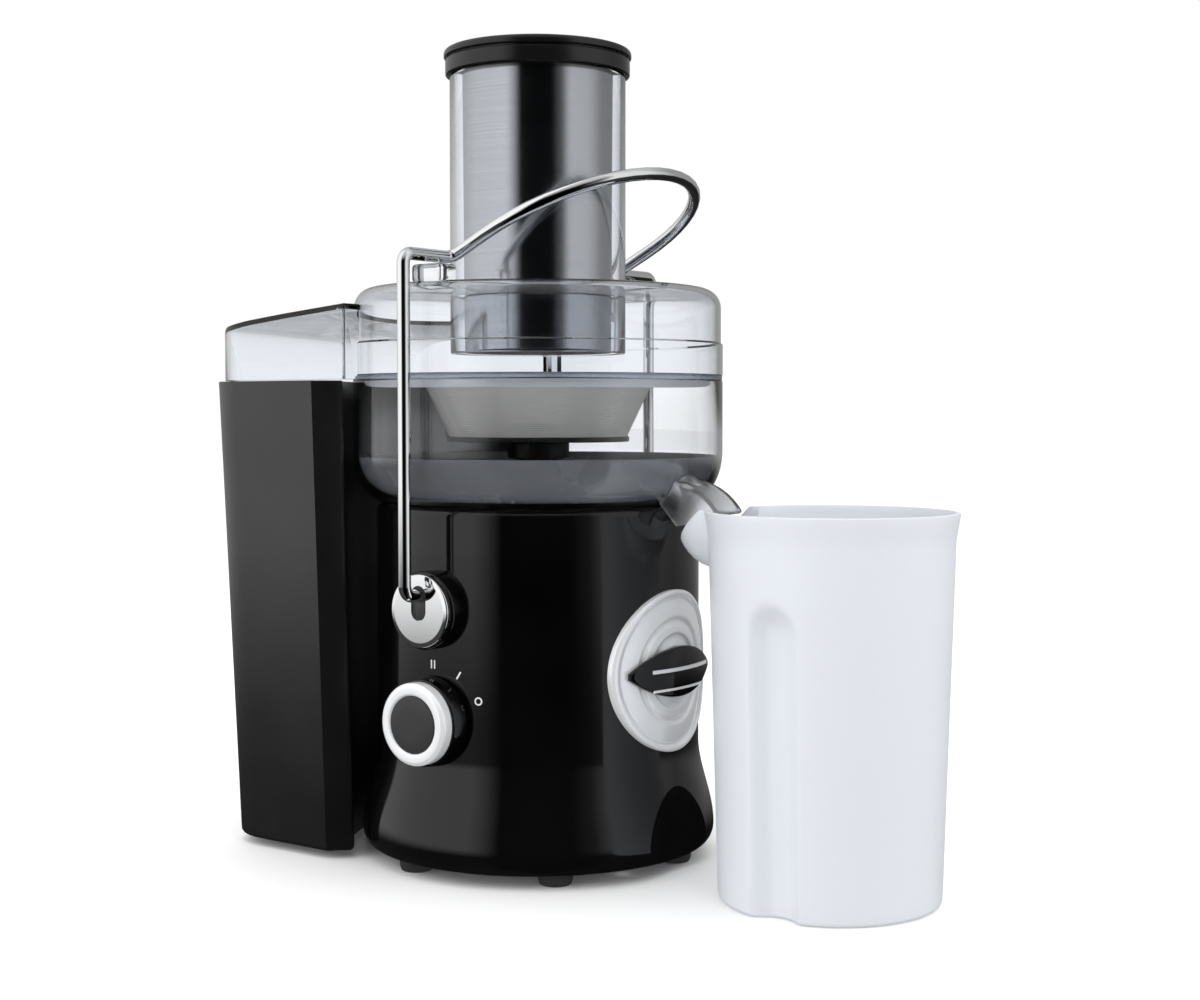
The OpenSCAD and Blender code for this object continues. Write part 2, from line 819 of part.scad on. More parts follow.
at_axis() base_housing();
at_axis() base_plate();
at_axis() feet();
at_axis() base_screws();
at_axis() pivot_bosses();
at_axis() emblem_plate();
at_axis() emblem_badge();
at_axis() cord_gland();
at_axis() motor_mounts();
at_axis() upper_bracket();
at_axis() lower_bracket();
at_axis() motor_screws();
at_axis() field_stack();
at_axis() field_coils();
at_axis() upper_bearing();
at_axis() lower_bearing();
at_axis() brush_holders();
at_axis() carbon_brushes();
at_axis() rotary_switch();
at_axis() interlock_switch();
at_axis() shaft_seal();
at_axis() bowl();
at_axis() juice_spout();
at_axis() lid_seal();
at_axis() lid();
at_axis() motor_shaft();
at_axis() armature_core();
at_axis() armature_coils();
at_axis() commutator();
at_axis() cooling_fan();
at_axis() drive_coupling();
at_axis() basket_hub();
at_axis() basket_floor();
at_axis() shredder_disc();
at_axis() mesh_basket();
at_axis() basket_rim();
at_axis() bail();
at_axis() front_disc();
at_axis() rear_disc();
at_axis() interlock_cam();
at_axis() interlock_plunger();
at_axis() dial_body();
at_axis() dial_ring();
at_axis() dial_cap();
at_axis() pusher_cap();
at_axis() pusher_sleeve();
at_axis() pusher_core();
at_axis() pulp_container();
at_axis() juice_jug();
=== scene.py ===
"""Looks of a centrifugal juicer: gloss black base, clear lid and bowl, steel pusher,
chrome bail, matt black pulp container and frosted juice jug.

Lengths in the tables below are millimetres measured from the body's upright axis
on the floor; place() turns them into metres in the frame that the CAD model uses.
"""

import math

import bpy
from mathutils import Matrix, Vector


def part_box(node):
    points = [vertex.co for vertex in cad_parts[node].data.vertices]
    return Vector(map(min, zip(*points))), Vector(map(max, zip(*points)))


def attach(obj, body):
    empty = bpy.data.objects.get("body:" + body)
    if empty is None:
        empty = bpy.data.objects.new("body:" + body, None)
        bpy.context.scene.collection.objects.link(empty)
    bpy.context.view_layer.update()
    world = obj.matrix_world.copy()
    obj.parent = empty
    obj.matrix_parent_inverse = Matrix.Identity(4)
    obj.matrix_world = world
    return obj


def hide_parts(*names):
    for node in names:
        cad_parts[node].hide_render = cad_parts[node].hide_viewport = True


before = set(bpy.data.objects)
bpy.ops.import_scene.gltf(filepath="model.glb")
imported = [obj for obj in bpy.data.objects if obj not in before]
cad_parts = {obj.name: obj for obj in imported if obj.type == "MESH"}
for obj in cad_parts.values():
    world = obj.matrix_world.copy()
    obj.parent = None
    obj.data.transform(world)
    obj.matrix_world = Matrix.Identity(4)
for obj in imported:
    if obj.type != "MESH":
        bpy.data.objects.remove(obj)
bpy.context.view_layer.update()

MM = 0.001


# ---------- measures read from the frame ----------

shaft_low, shaft_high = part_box("motor_shaft")
AXIS = Vector(((shaft_low.x + shaft_high.x) / 2, (shaft_low.y + shaft_high.y) / 2, 0))


def low(node):
    """Lowest corner of a CAD node, in millimetres from the body's axis."""
    return (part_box(node)[0] - AXIS) / MM


def high(node):
    """Highest corner of a CAD node, in millimetres from the body's axis."""
    return (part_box(node)[1] - AXIS) / MM


def place(x, y, z):
    """A point given in millimetres from the body's axis, in metres in the frame."""
    return AXIS + Vector((x, y, z)) * MM


WALL_R = high("emblem_plate").x - 3  # straight wall of the base, inside the plate's thickness
FLARE_R = high("base_housing").y
FLARE_Z = 15  # where the foot is widest
FLARE_TOP = 59  # where the wall becomes straight
FOOT_H = low("base_plate").z
DECK = low("bowl").z
BOWL_R = high("bowl").y
BOWL_TOP = high("bowl").z
LID_LOW = high("lid_seal").z
LID_TOP = BOWL_TOP + 47
BEND_Z = 207  # where the bowl's side becomes straight
TUBE_TOP = high("lid").z
TUBE_R = 45
PIVOT_Z = (low("front_disc").z + high("front_disc").z) / 2
FACE_Y = 91  # front of the pivot bosses
ROD_UP = 7.7  # the bail's pins above the pivot's centre
PIN_R = 4.05
DIAL_Z = (low("dial_cap").z + high("dial_cap").z) / 2
EMBLEM_Z = (low("emblem_plate").z + high("emblem_plate").z) / 2
GLAND_Z = 27
ROD_R = 3.1
ARM_Y = 103
JUG_RIM_R = high("juice_jug").y
JUG_X = high("juice_jug").x - JUG_RIM_R
JUG_H = high("juice_jug").z
BIN_FAR = -low("pulp_container").x
BIN_HALF = high("pulp_container").y
BIN_NEAR = 59  # the container's side towards the base
BIN_LOW = low("pulp_container").z
CLEAR_WALL = 2.5
SPOUT_AT = (78, 0, 195)
SPOUT_DIP = math.radians(38)
SPOUT_WAY = (math.cos(SPOUT_DIP), 0, -math.sin(SPOUT_DIP))
SPOUT_R = 11
SPOUT_BORE_R = SPOUT_R - 2.2
FRONT, REAR, UP = (0, -1, 0), (0, 1, 0), (0, 0, 1)


# ---------- ways of making a piece ----------

def put_down():
    """Leaves edit mode and lets go of everything that is selected."""
    if bpy.context.object and bpy.context.object.mode == "EDIT":
        bpy.ops.object.mode_set(mode="OBJECT")
    bpy.ops.object.select_all(action="DESELECT")


def pick_up(*pieces):
    """Selects these pieces only; the first one is the active one."""
    put_down()
    for piece in pieces:
        piece.select_set(True)
    bpy.context.view_layer.objects.active = pieces[0]


def name_it(name, piece=None):
    """Names a piece, or else the active one, and its data."""
    piece = piece or bpy.context.object
    piece.name = piece.data.name = name
    return piece


def eased(corners, closed=True, steps=5):
    """A line through corners, with arcs in their place. A corner is a point and its rounding."""
    points = [Vector(corner[:-1]) for corner in corners]
    line = []
    for i, corner in enumerate(points):
        rounding = corners[i][-1]
        at_end = not closed and i in (0, len(points) - 1)
        if rounding == 0 or at_end:
            line.append(corner)
            continue
        back = (points[i - 1] - corner).normalized()
        ahead = (points[(i + 1) % len(points)] - corner).normalized()
        half = back.angle(ahead) / 2
        centre = corner + (back + ahead).normalized() * (rounding / math.sin(half))
        start = corner + back * (rounding / math.tan(half)) - centre
        end = corner + ahead * (rounding / math.tan(half)) - centre
        turn = math.pi - 2 * half
        for k in range(steps + 1):
            share = k / steps
            swept = start * math.sin((1 - share) * turn) + end * math.sin(share * turn)
            line.append(centre + swept / math.sin(turn))
    if closed:
        line.append(line[0])
    return line


def arc(cx, cy, radius, from_deg, to_deg, steps=12):
    """Points along an arc, first end included."""
    angles = [math.radians(from_deg + (to_deg - from_deg) * i / steps) for i in range(steps + 1)]
    return [(cx + radius * math.cos(a), cy + radius * math.sin(a)) for a in angles]


def drawn(name, points):
    """A line of edges through points, in metres, left in edit mode with all of it selected."""
    put_down()
    bpy.ops.mesh.primitive_plane_add(size=MM, location=(0, 0, 0))
    piece = name_it(name)
    bpy.ops.object.mode_set(mode="EDIT")
    bpy.ops.mesh.select_mode(type="VERT")
    bpy.ops.mesh.select_all(action="SELECT")
    bpy.ops.mesh.merge(type="CENTER")
    bpy.ops.transform.translate(value=points[0])
    for here, there in zip(points, points[1:]):
        bpy.ops.mesh.extrude_vertices_move(TRANSFORM_OT_translate={"value": there - here})
    bpy.ops.mesh.select_all(action="SELECT")
    return piece


def close_up(threshold=0.004):
    """Merges doubled points and turns the faces outwards, in edit mode."""
    bpy.ops.mesh.select_all(action="SELECT")
    bpy.ops.mesh.remove_doubles(threshold=threshold * MM)
    bpy.ops.mesh.normals_make_consistent(inside=False)


def turned(name, outline, centre=(0, 0, 0), up=UP, side=(1, 0, 0), steps=128):
    """A piece turned on a lathe. The outline holds (radius, height along up) in millimetres."""
    up, side = Vector(up).normalized(), Vector(side).normalized()
    base = place(*centre)
    points = [base + side * (r * MM) + up * (h * MM) for r, h in outline]
    piece = drawn(name, points)
    bpy.ops.mesh.spin(steps=steps, angle=math.tau, center=base, axis=up)
    close_up()
    bpy.ops.mesh.select_all(action="SELECT")
    bpy.ops.mesh.dissolve_degenerate(threshold=0.002 * MM)
    put_down()
    return piece


def rod_tool(radius, start, end, centre=(0, 0, 0), up=UP, side=(1, 0, 0), steps=48):
    """A plain round tool between two distances along its axis."""
    outline = [(0, start), (radius, start), (radius, end), (0, end)]
    return turned("tool", outline, centre, up, side, steps)


def plate(name, points, push):
    """A plate with this outline, points in millimetres, pushed out by a vector in millimetres."""
    piece = drawn(name, [place(*p) for p in points + points[:1]])
    bpy.ops.mesh.remove_doubles(threshold=0.002 * MM)
    bpy.ops.mesh.edge_face_add()
    bpy.ops.mesh.extrude_region_move(TRANSFORM_OT_translate={"value": Vector(push) * MM})
    close_up(0.001)
    put_down()
    return piece


def block(name, lowest, highest, rounding=0.0):
    """A block between two corners in millimetres, its edges rounded when a rounding is given."""
    a, b = place(*lowest), place(*highest)
    put_down()
    bpy.ops.mesh.primitive_cube_add(size=1, location=(a + b) / 2)
    piece = name_it(name)
    piece.scale = b - a
    bpy.ops.object.transform_apply(location=True, rotation=True, scale=True)
    if rounding:
        soften(piece, rounding)
    return piece


def soften(piece, width, segments=3, angle=40):
    """Rounds the edges that are sharper than an angle."""
    pick_up(piece)
    rounding = piece.modifiers.new("rounded_edges", "BEVEL")
    rounding.width = width * MM
    rounding.segments = segments
    rounding.limit_method = "ANGLE"
    rounding.angle_limit = math.radians(angle)
    bpy.ops.object.modifier_apply(modifier=rounding.name)
    return piece


def edit_all(piece):
    """Starts editing a piece with all of it selected."""
    pick_up(piece)
    bpy.ops.object.mode_set(mode="EDIT")
    bpy.ops.mesh.select_all(action="SELECT")


def combine(piece, *tools, how="DIFFERENCE"):
    """Cuts the tools out of a piece, keeps what they share, or adds them, and puts the tools away."""
    for tool in tools:
        pick_up(piece)
        change = piece.modifiers.new("combine", "BOOLEAN")
        change.operation = how
        change.solver = "EXACT"
        change.object = tool
        bpy.ops.object.modifier_apply(modifier=change.name)
        bpy.data.objects.remove(tool)
    edit_all(piece)
    bpy.ops.mesh.remove_doubles(threshold=0.001 * MM)
    bpy.ops.mesh.dissolve_degenerate(threshold=0.001 * MM)
    bpy.ops.mesh.delete_loose()
    put_down()
    return piece


def joined(name, pieces):
    """Several meshes as one piece."""
    pick_up(*pieces)
    bpy.ops.object.join()
    return name_it(name)


def copied(piece, name, change):
    """A copy with its own mesh, moved by a matrix in the frame."""
    twin = piece.copy()
    twin.data = piece.data.copy()
    name_it(name, twin)
    bpy.context.scene.collection.objects.link(twin)
    twin.data.transform(change)
    if change.determinant() < 0:
        twin.data.flip_normals()
    return twin


def smooth(piece, angle=30):
    pick_up(piece)
    bpy.ops.object.shade_smooth_by_angle(angle=math.radians(angle))
    put_down()
    return piece


def turn_about(point, axis, degrees):
    """Matrix that turns about an axis through a point given in millimetres."""
    centre = Matrix.Translation(place(*point))
    return centre @ Matrix.Rotation(math.radians(degrees), 4, Vector(axis)) @ centre.inverted()


def hand_over(piece, body, look, slot, *nodes):
    """Gives a finished piece its finish and body, and hides the CAD nodes that it stands for. The slot
    is not used.
    """
    piece.data.materials.clear()
    piece.data.materials.append(FINISHES[look])
    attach(piece, body)
    if nodes:
        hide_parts(*nodes)
    return piece


def turned_part(name, corners, owner, closed=True, angle=30, **turning):
    """A piece turned from corners and handed over; owner is its body, finish, slot and CAD node."""
    piece = turned(name, eased(corners, closed), **turning)
    return hand_over(smooth(piece, angle), *owner)


# ---------- materials ----------

def new_group(name, inputs):
    """A node group with number inputs (name, default) and one output, and its sockets."""
    group = bpy.data.node_groups.new(name, "ShaderNodeTree")
    for label, default in inputs:
        socket = group.interface.new_socket(name=label, in_out="INPUT", socket_type="NodeSocketFloat")
        socket.default_value = default
    group.interface.new_socket(name="Value", in_out="OUTPUT", socket_type="NodeSocketFloat")
    given, result = group.nodes.new("NodeGroupInput"), group.nodes.new("NodeGroupOutput")
    return group, given.outputs, result.inputs[0]


def add_node(tree, kind, **settings):
    node = tree.nodes.new("ShaderNode" + kind)
    for key, value in settings.items():
        setattr(node, key, value)
    return node


def feed(tree, socket, value):
    """Puts a constant on a socket, or links another socket to it."""
    if isinstance(value, bpy.types.NodeSocket):
        tree.links.new(value, socket)
    else:
        socket.default_value = value


def feed_all(tree, node, **values):
    """Feeds a node's inputs by name, with _ for a space."""
    for label, value in values.items():
        feed(tree, node.inputs[label.replace("_", " ")], value)


def math_node(tree, operation, first, second=None):
    """A Math node; each input is a socket or a number."""
    node = add_node(tree, "Math", operation=operation)
    feed(tree, node.inputs[0], first)
    if second is not None:
        feed(tree, node.inputs[1], second)
    return node.outputs[0]


def mapped(tree, value, start, end, low_value, high_value, easing="LINEAR"):
    """Maps a value from one range onto another."""
    node = add_node(tree, "MapRange", interpolation_type=easing)
    feed_all(tree, node, Value=value, From_Min=start, From_Max=end, To_Min=low_value, To_Max=high_value)
    return node.outputs[0]


def noise(tree, detail, roughness, *stretches):
    """Noise over object coordinates that are stretched along each axis by a socket's value."""
    stretch = add_node(tree, "CombineXYZ")
    for socket, amount in zip(stretch.inputs, stretches):
        feed(tree, socket, amount)
    product = add_node(tree, "VectorMath", operation="MULTIPLY")
    feed(tree, product.inputs[0], add_node(tree, "TexCoord").outputs["Object"])
    feed(tree, product.inputs[1], stretch.outputs[0])
    node = add_node(tree, "TexNoise")
    feed_all(tree, node, Vector=product.outputs[0], Scale=1, Detail=detail, Roughness=roughness)
    return node.outputs[0]


def spread(tree, value, lowest, highest):
    """Maps the middle of a noise onto a range."""
    return mapped(tree, value, 0.3, 0.7, lowest, highest)


def handling_group():
    """Soft patches of touch marks: a value that drifts between Clean and Touched."""
    group, given, result = new_group("handling", [("Size", 18), ("Clean", 0.1), ("Touched", 0.2)])
    patches = noise(group, 4, 0.6, given["Size"], given["Size"], given["Size"])
    feed(group, result, spread(group, patches, given["Clean"], given["Touched"]))
    return group


def grain_group():
    """Fine moulded grain as a height."""
    group, given, result = new_group("moulded_grain", [("Size", 900)])
    feed(group, result, noise(group, 3, 0.5, given["Size"], given["Size"], given["Size"]))
    return group


def brushed_group():
    """Fine lines that run level round a piece: noise stretched across the height."""
    inputs = [("Across", 9), ("Lines", 2600), ("Low", 0), ("High", 1)]
    group, given, result = new_group("brushed_lines", inputs)
    lines = noise(group, 3, 0.5, given["Across"], given["Across"], given["Lines"])
    feed(group, result, spread(group, lines, given["Low"], given["High"]))
    return group


def sieve_group():
    """Staggered holes of an etched sieve round the body's axis: 0 in a hole and 1 in the metal."""
    inputs = [("Holes round", 240), ("Rows per metre", 900), ("Bore", 0.3)]
    group, given, result = new_group("etched_sieve", inputs)

    def calc(operation, first, second=None):
        return math_node(group, operation, first, second)

    split = add_node(group, "SeparateXYZ")
    feed(group, split.inputs[0], add_node(group, "TexCoord").outputs["Object"])
    x, y, z = split.outputs
    turn = calc("DIVIDE", calc("ARCTAN2", y, calc("SUBTRACT", x, AXIS.x)), math.tau)
    rows = calc("MULTIPLY", z, given["Rows per metre"])
    stagger = calc("MULTIPLY", calc("FLOOR", rows), 0.5)
    cells = calc("ADD", calc("MULTIPLY", turn, given["Holes round"]), stagger)
    across, upward = [calc("SUBTRACT", calc("FRACT", value), 0.5) for value in (cells, rows)]
    squares = [calc("MULTIPLY", value, value) for value in (across, upward)]
    distance = calc("SQRT", calc("ADD", *squares))
    feed(group, result, calc("GREATER_THAN", distance, given["Bore"]))
    return group


HANDLING = handling_group()
GRAIN = grain_group()
BRUSHED = brushed_group()
SIEVE = sieve_group()


def use_group(tree, group, **values):
    node = add_node(tree, "Group", node_tree=group)
    feed_all(tree, node, **values)
    return node.outputs[0]


def finish(name, colour, roughness, **constants):
    """A material whose constants sit on the shader's own sockets."""
    material = bpy.data.materials.new(name)
    material.use_nodes = True
    tree = material.node_tree
    shader = tree.nodes["Principled BSDF"]
    feed_all(tree, shader, Base_Color=(*colour, 1), Roughness=roughness, **constants)
    material.diffuse_color = (*colour, 1)
    return material, tree, shader


def touched(tree, shader, size, clean, worn):
    """Roughness that drifts with handling."""
    feed_all(tree, shader, Roughness=use_group(tree, HANDLING, Size=size, Clean=clean, Touched=worn))


def bumped(tree, shader, height, strength, depth):
    """Feeds a height to the shader's normal; depth is in millimetres."""
    bump = add_node(tree, "Bump")
    feed_all(tree, bump, Strength=strength, Distance=depth * MM, Height=height)
    feed_all(tree, shader, Normal=bump.outputs[0])


def shaded(tree, shader, value, dark, light):
    """Base colour between two shades by a value from 0 to 1."""
    ramp = add_node(tree, "ValToRGB")
    for stop, colour in zip(ramp.color_ramp.elements, (dark, light)):
        stop.color = (*colour, 1)
    feed(tree, ramp.inputs[0], value)
    feed_all(tree, shader, Base_Color=ramp.outputs[0])


def gloss_black():
    material, tree, shader = finish("gloss_black_enamel", (0.002, 0.002, 0.0025), 0.09)
    touched(tree, shader, 22, 0.05, 0.12)
    shaded(tree, shader, use_group(tree, HANDLING, Size=9, Clean=0, Touched=1),
           (0.0008, 0.0008, 0.001), (0.003, 0.0028, 0.0028))
    bumped(tree, shader, use_group(tree, GRAIN, Size=140), 0.05, 0.05)
    return material


def moulded_black(name, colour, clean, worn, grain, depth, strength=0.25, ior=1.5):
    material, tree, shader = finish(name, colour, worn, IOR=ior)
    touched(tree, shader, 25, clean, worn)
    lighter = tuple(c * 1.35 for c in colour)
    shaded(tree, shader, use_group(tree, HANDLING, Size=14, Clean=0, Touched=1), colour, lighter)
    bumped(tree, shader, use_group(tree, GRAIN, Size=grain), strength, depth)
    return material


def metal(name, colour, clean, worn, lines=0, strength=0.0, across=9, metallic=1.0):
    material, tree, shader = finish(name, colour, clean, Metallic=metallic)
    touched(tree, shader, 30, clean, worn)
    if lines:
        height = use_group(tree, BRUSHED, Across=across, Lines=lines, Low=0, High=1)
        bumped(tree, shader, height, strength, 0.03)
        darker = tuple(c * 0.86 for c in colour)
        shaded(tree, shader, height, darker, colour)
    return material


def clear(name, colour, roughness, ior=1.49):
    material, tree, shader = finish(name, colour, roughness, Transmission_Weight=1, IOR=ior)
    touched(tree, shader, 35, roughness, roughness + 0.03)
    return material


def sieve():
    material, tree, shader = finish("etched_steel_sieve", (0.96, 0.945, 0.9), 0.35, Metallic=0.1)
    touched(tree, shader, 30, 0.3, 0.42)
    holes = use_group(tree, SIEVE, Holes_round=360, Rows_per_metre=1000, Bore=0.2)
    feed_all(tree, shader, Alpha=holes)
    return material


def frosted():
    material, tree, shader = finish("frosted_white_plastic", (0.74, 0.77, 0.815), 0.4,
                                    Transmission_Weight=0.2, IOR=1.4)
    touched(tree, shader, 20, 0.34, 0.46)
    bumped(tree, shader, use_group(tree, GRAIN, Size=1500), 0.12, 0.02)
    return material


def windings():
    """Varnished copper wire laid side by side."""
    material, tree, shader = finish("varnished_copper", (0.62, 0.26, 0.11), 0.3, Metallic=1)
    height = use_group(tree, BRUSHED, Across=14, Lines=1400, Low=0, High=1)
    shaded(tree, shader, height, (0.38, 0.13, 0.05), (0.78, 0.36, 0.17))
    bumped(tree, shader, height, 0.6, 0.2)
    return material


FINISHES = {
    "gloss": gloss_black(),
    "cap": moulded_black("satin_black_cap", (0.004, 0.004, 0.004), 0.14, 0.22, 500, 0.02),
    "container": moulded_black("matt_grey_container", (0.005, 0.005, 0.0048), 0.28, 0.36, 1400, 0.03,
                               ior=1.66),
    "inner_black": moulded_black("inner_black_plastic", (0.02, 0.02, 0.021), 0.35, 0.5, 700, 0.04),
    "rubber": moulded_black("black_rubber", (0.016, 0.016, 0.016), 0.7, 0.85, 1100, 0.06),
    "chrome": metal("polished_chrome", (0.95, 0.955, 0.965), 0.02, 0.05),
    "silver": metal("pearl_silver_trim", (0.86, 0.87, 0.885), 0.2, 0.26, metallic=0.35),
    "steel": metal("brushed_steel_sleeve", (0.62, 0.62, 0.63), 0.12, 0.17, 3200, 0.1),
    "cutter_steel": metal("cutter_steel", (0.72, 0.72, 0.72), 0.24, 0.34, 1600, 0.1),
    "rim_steel": metal("satin_rim_steel", (0.88, 0.9, 0.93), 0.28, 0.36, metallic=0.3),
    "sieve": sieve(),
    "zinc": metal("zinc_plated_screw", (0.66, 0.67, 0.68), 0.3, 0.42),
    "alloy": metal("cast_alloy", (0.6, 0.61, 0.62), 0.42, 0.58, 300, 0.35, 300),
    "laminations": metal("stacked_laminations", (0.34, 0.35, 0.37), 0.38, 0.5, 2000, 0.7),
    "copper": windings(),
    "brass": metal("rolled_brass", (0.76, 0.56, 0.26), 0.25, 0.38, 1500, 0.12),
    "carbon": moulded_black("pressed_carbon", (0.03, 0.03, 0.032), 0.55, 0.7, 1800, 0.08),
    "clear": clear("clear_plastic", (0.93, 0.95, 0.98), 0.0),
    "spout": clear("hazy_clear_plastic", (0.95, 0.965, 0.985), 0.3),
    "smoke": clear("smoke_tinted_plastic", (0.93, 0.942, 0.96), 0.02),
    "channel": moulded_black("grey_channel_plastic", (0.16, 0.165, 0.178), 0.22, 0.3, 900, 0.02),
    "seal": clear("slate_silicone_seal", (0.42, 0.46, 0.54), 0.25, 1.42),
    "frosted": frosted(),
    "print": moulded_black("printed_mark_ink", (0.62, 0.62, 0.6), 0.4, 0.5, 900, 0.01),
}


# ---------- base ----------

def flare_at(height):
    """Radius of the base's wall at a height."""
    t = min(1, max(0, (FLARE_TOP - height) / (FLARE_TOP - FLARE_Z)))
    return WALL_R + (FLARE_R - WALL_R) * t * t * (3 - 2 * t)


def base_outline(inset, top, bottom):
    """Outline of the base from the middle of its deck down to its lower edge."""
    deck_corner, foot_corner = 4, 7
    edge = deck_corner - inset / 2
    heights = [FLARE_TOP - (FLARE_TOP - FLARE_Z) * i / 28 for i in range(29)]
    side = [(flare_at(z) - inset, z) for z in heights]
    foot = []
    for i in range(1, 11):
        a = math.radians(9 * i)
        radius = FLARE_R - foot_corner + foot_corner * math.cos(a) - inset
        foot.append((radius, FLARE_Z - (FLARE_Z - bottom) * math.sin(a)))
    corner = arc(WALL_R - deck_corner, top - edge, edge, 90, 0, 8)
    wall = [(WALL_R - inset, top - edge - (top - edge - FLARE_TOP) * i / 6) for i in range(1, 6)]
    return [(0, top)] + corner + wall + side + foot + [(0, bottom)]


def spout_tool(radius):
    return rod_tool(radius, -6, 21, SPOUT_AT, SPOUT_WAY, REAR, 64)


def make_housing():
    wall, side_r = 3, 150
    side_x = WALL_R + 2.5 + side_r  # axis of the round cut that makes room for the jug
    shell = turned("gloss_base_housing", base_outline(0, DECK, FOOT_H), steps=192)
    hollow = turned("hollow", base_outline(wall, DECK - wall, FOOT_H - 1), steps=192)
    combine(hollow, rod_tool(side_r + 4, -2, FLARE_TOP - 3, (side_x, 0, 0), steps=384))
    combine(shell, rod_tool(side_r, -2, FLARE_TOP - 1, (side_x, 0, 0), steps=384), hollow)

    round_base = [math.radians(degrees) for degrees in (44, 164, 224, 344)]
    spots = [(70 * math.cos(a), 70 * math.sin(a), 9.2, 28) for a in round_base]
    spots += [(x, 0, 132, 142) for x in (-58, 58)]
    posts = []
    for x, y, foot, hole_top in spots:
        outline = eased([(0, hole_top, 0), (1.7, hole_top, 0), (1.7, foot, 0.3), (5, foot, 0.6),
                         (5, DECK - 1, 0), (0, DECK - 1, 0)], closed=False)
        posts.append(turned("screw_post", outline, (x, y, 0), steps=32))
    combine(shell, joined("posts", posts), how="UNION")

    combine(shell, spout_tool(SPOUT_R + 0.3), rod_tool(11, 150, 200, steps=64))
    pins = rod_tool(PIN_R, -95, 95, (0, 0, PIVOT_Z), REAR, steps=32)
    dial_shaft = rod_tool(PIN_R, 70, 95, (0, 0, DIAL_Z), FRONT, steps=32)
    gland = rod_tool(7, 70, 100, (0, 0, GLAND_Z), REAR)
    combine(shell, pins, dial_shaft, gland)
    smooth(shell, 12)
    hand_over(shell, "base", "gloss", "housing_gloss", "base_housing")


def make_feet():
    outline = eased([(0, 0, 0), (7.6, 0, 1.2), (8.5, 3, 0.8), (8.5, FOOT_H, 0.3), (2.9, FOOT_H, 0.2),
                     (2.9, 9, 0.4), (0, 9, 0)], closed=False)
    first = turned("rubber_foot", outline, (75, 0, 0), steps=48)
    feet = [copied(first, f"foot_{i}", turn_about((0, 0, 0), UP, 14 + 60 * i)) for i in range(6)]
    bpy.data.objects.remove(first)
    hand_over(smooth(joined("rubber_feet", feet)), "base", "rubber", "rubber", "feet")


def make_pivots():
    """The boss on the wall, the chrome disc on it and its dark keyhole for the rod, front and rear."""
    centre = (0, 0, PIVOT_Z)
    boss_y = FACE_Y - 0.3
    boss_line = eased([(PIN_R, 60, 0), (19, 60, 0), (19, boss_y, 1.6), (PIN_R, boss_y, 0.4)])
    boss = turned("pivot_boss", boss_line, centre, FRONT, steps=96)
    combine(boss, rod_tool(WALL_R, 100, 170, steps=192))
    rear_boss = copied(boss, "pivot_boss_rear", turn_about((0, 0, 0), UP, 180))
    both = smooth(joined("pivot_bosses_gloss", [boss, rear_boss]))
    hand_over(both, "base", "gloss", "housing_gloss", "pivot_bosses")

    disc_line = eased([(0, 69.5, 0), (4, 69.5, 0.4), (4, FACE_Y, 0), (17.75, FACE_Y, 0.3),
                       (17.75, FACE_Y + 2.1, 0.8), (15.5, FACE_Y + 2.5, 4), (0, FACE_Y + 2.6, 0)],
                      closed=False)
    disc = turned("front_pivot_disc", disc_line, centre, FRONT)
    keyhole = arc(0, 0, 4.6, 180, 360, 18) + arc(0, ROD_UP, 4.6, 0, 180, 18)

    def rod_hole():
        return rod_tool(ROD_R + 0.1, 80, 99, (0, 0, PIVOT_Z + ROD_UP), FRONT)

    slot = plate("keyhole_cut", [(x, -FACE_Y - 1.4, PIVOT_Z + z) for x, z in keyhole], (0, -3, 0))
    combine(disc, slot, rod_hole())
    middle, fit = ROD_UP / 2, 0.985
    points = [(x * fit, -FACE_Y - 1.42, PIVOT_Z + middle + (z - middle) * fit) for x, z in keyhole]
    insert = plate("keyhole_insert_front", points, (0, -0.5, 0))
    combine(insert, rod_hole())
    soften(insert, 0.12, 2)
    to_rear = Matrix.Scale(-1, 4, REAR)
    rear_disc = copied(disc, "rear_pivot_disc", to_rear)
    rear_insert = copied(insert, "keyhole_insert_rear", to_rear)
    hand_over(smooth(disc), "bail", "chrome", "chrome", "front_disc")
    hand_over(smooth(rear_disc), "bail", "chrome", "chrome", "rear_disc")
    for piece in (insert, rear_insert):
        hand_over(smooth(piece), "bail", "inner_black", "black_plastic")


def make_bail():
    """One chrome rod: up both arms, over the lid and round the feed tube in a raised loop."""
    saddle = TUBE_TOP - 96
    loop, leg, tilt, bend = 68, 23, math.radians(26.5), 5
    pin_z = PIVOT_Z + ROD_UP
    across = [(-FACE_Y - 0.2, pin_z), (-ARM_Y, pin_z), (-ARM_Y, saddle), (-loop, saddle)]
    corners = [(0, y, z, bend) for y, z in across]
    for forward, sideways in arc(leg, 0, loop, -90, 90, 24):
        corners.append((forward * math.cos(tilt), sideways, saddle + forward * math.sin(tilt), 0))
    corners += [(0, -y, z, bend) for y, z in reversed(across)]
    rod = drawn("bail_rod", [place(*p) for p in eased(corners, closed=False, steps=8)])
    pick_up(rod)
    bpy.ops.object.convert(target="CURVE")
    rod = bpy.context.object
    rod.data.bevel_depth = ROD_R * MM
    rod.data.bevel_resolution = 7
    rod.data.use_fill_caps = True
    bpy.ops.object.convert(target="MESH")
    rod = name_it("chrome_bail")
    bpy.ops.object.mode_set(mode="EDIT")
    close_up()
    put_down()
    hand_over(smooth(rod, 50), "bail", "chrome", "chrome", "bail")


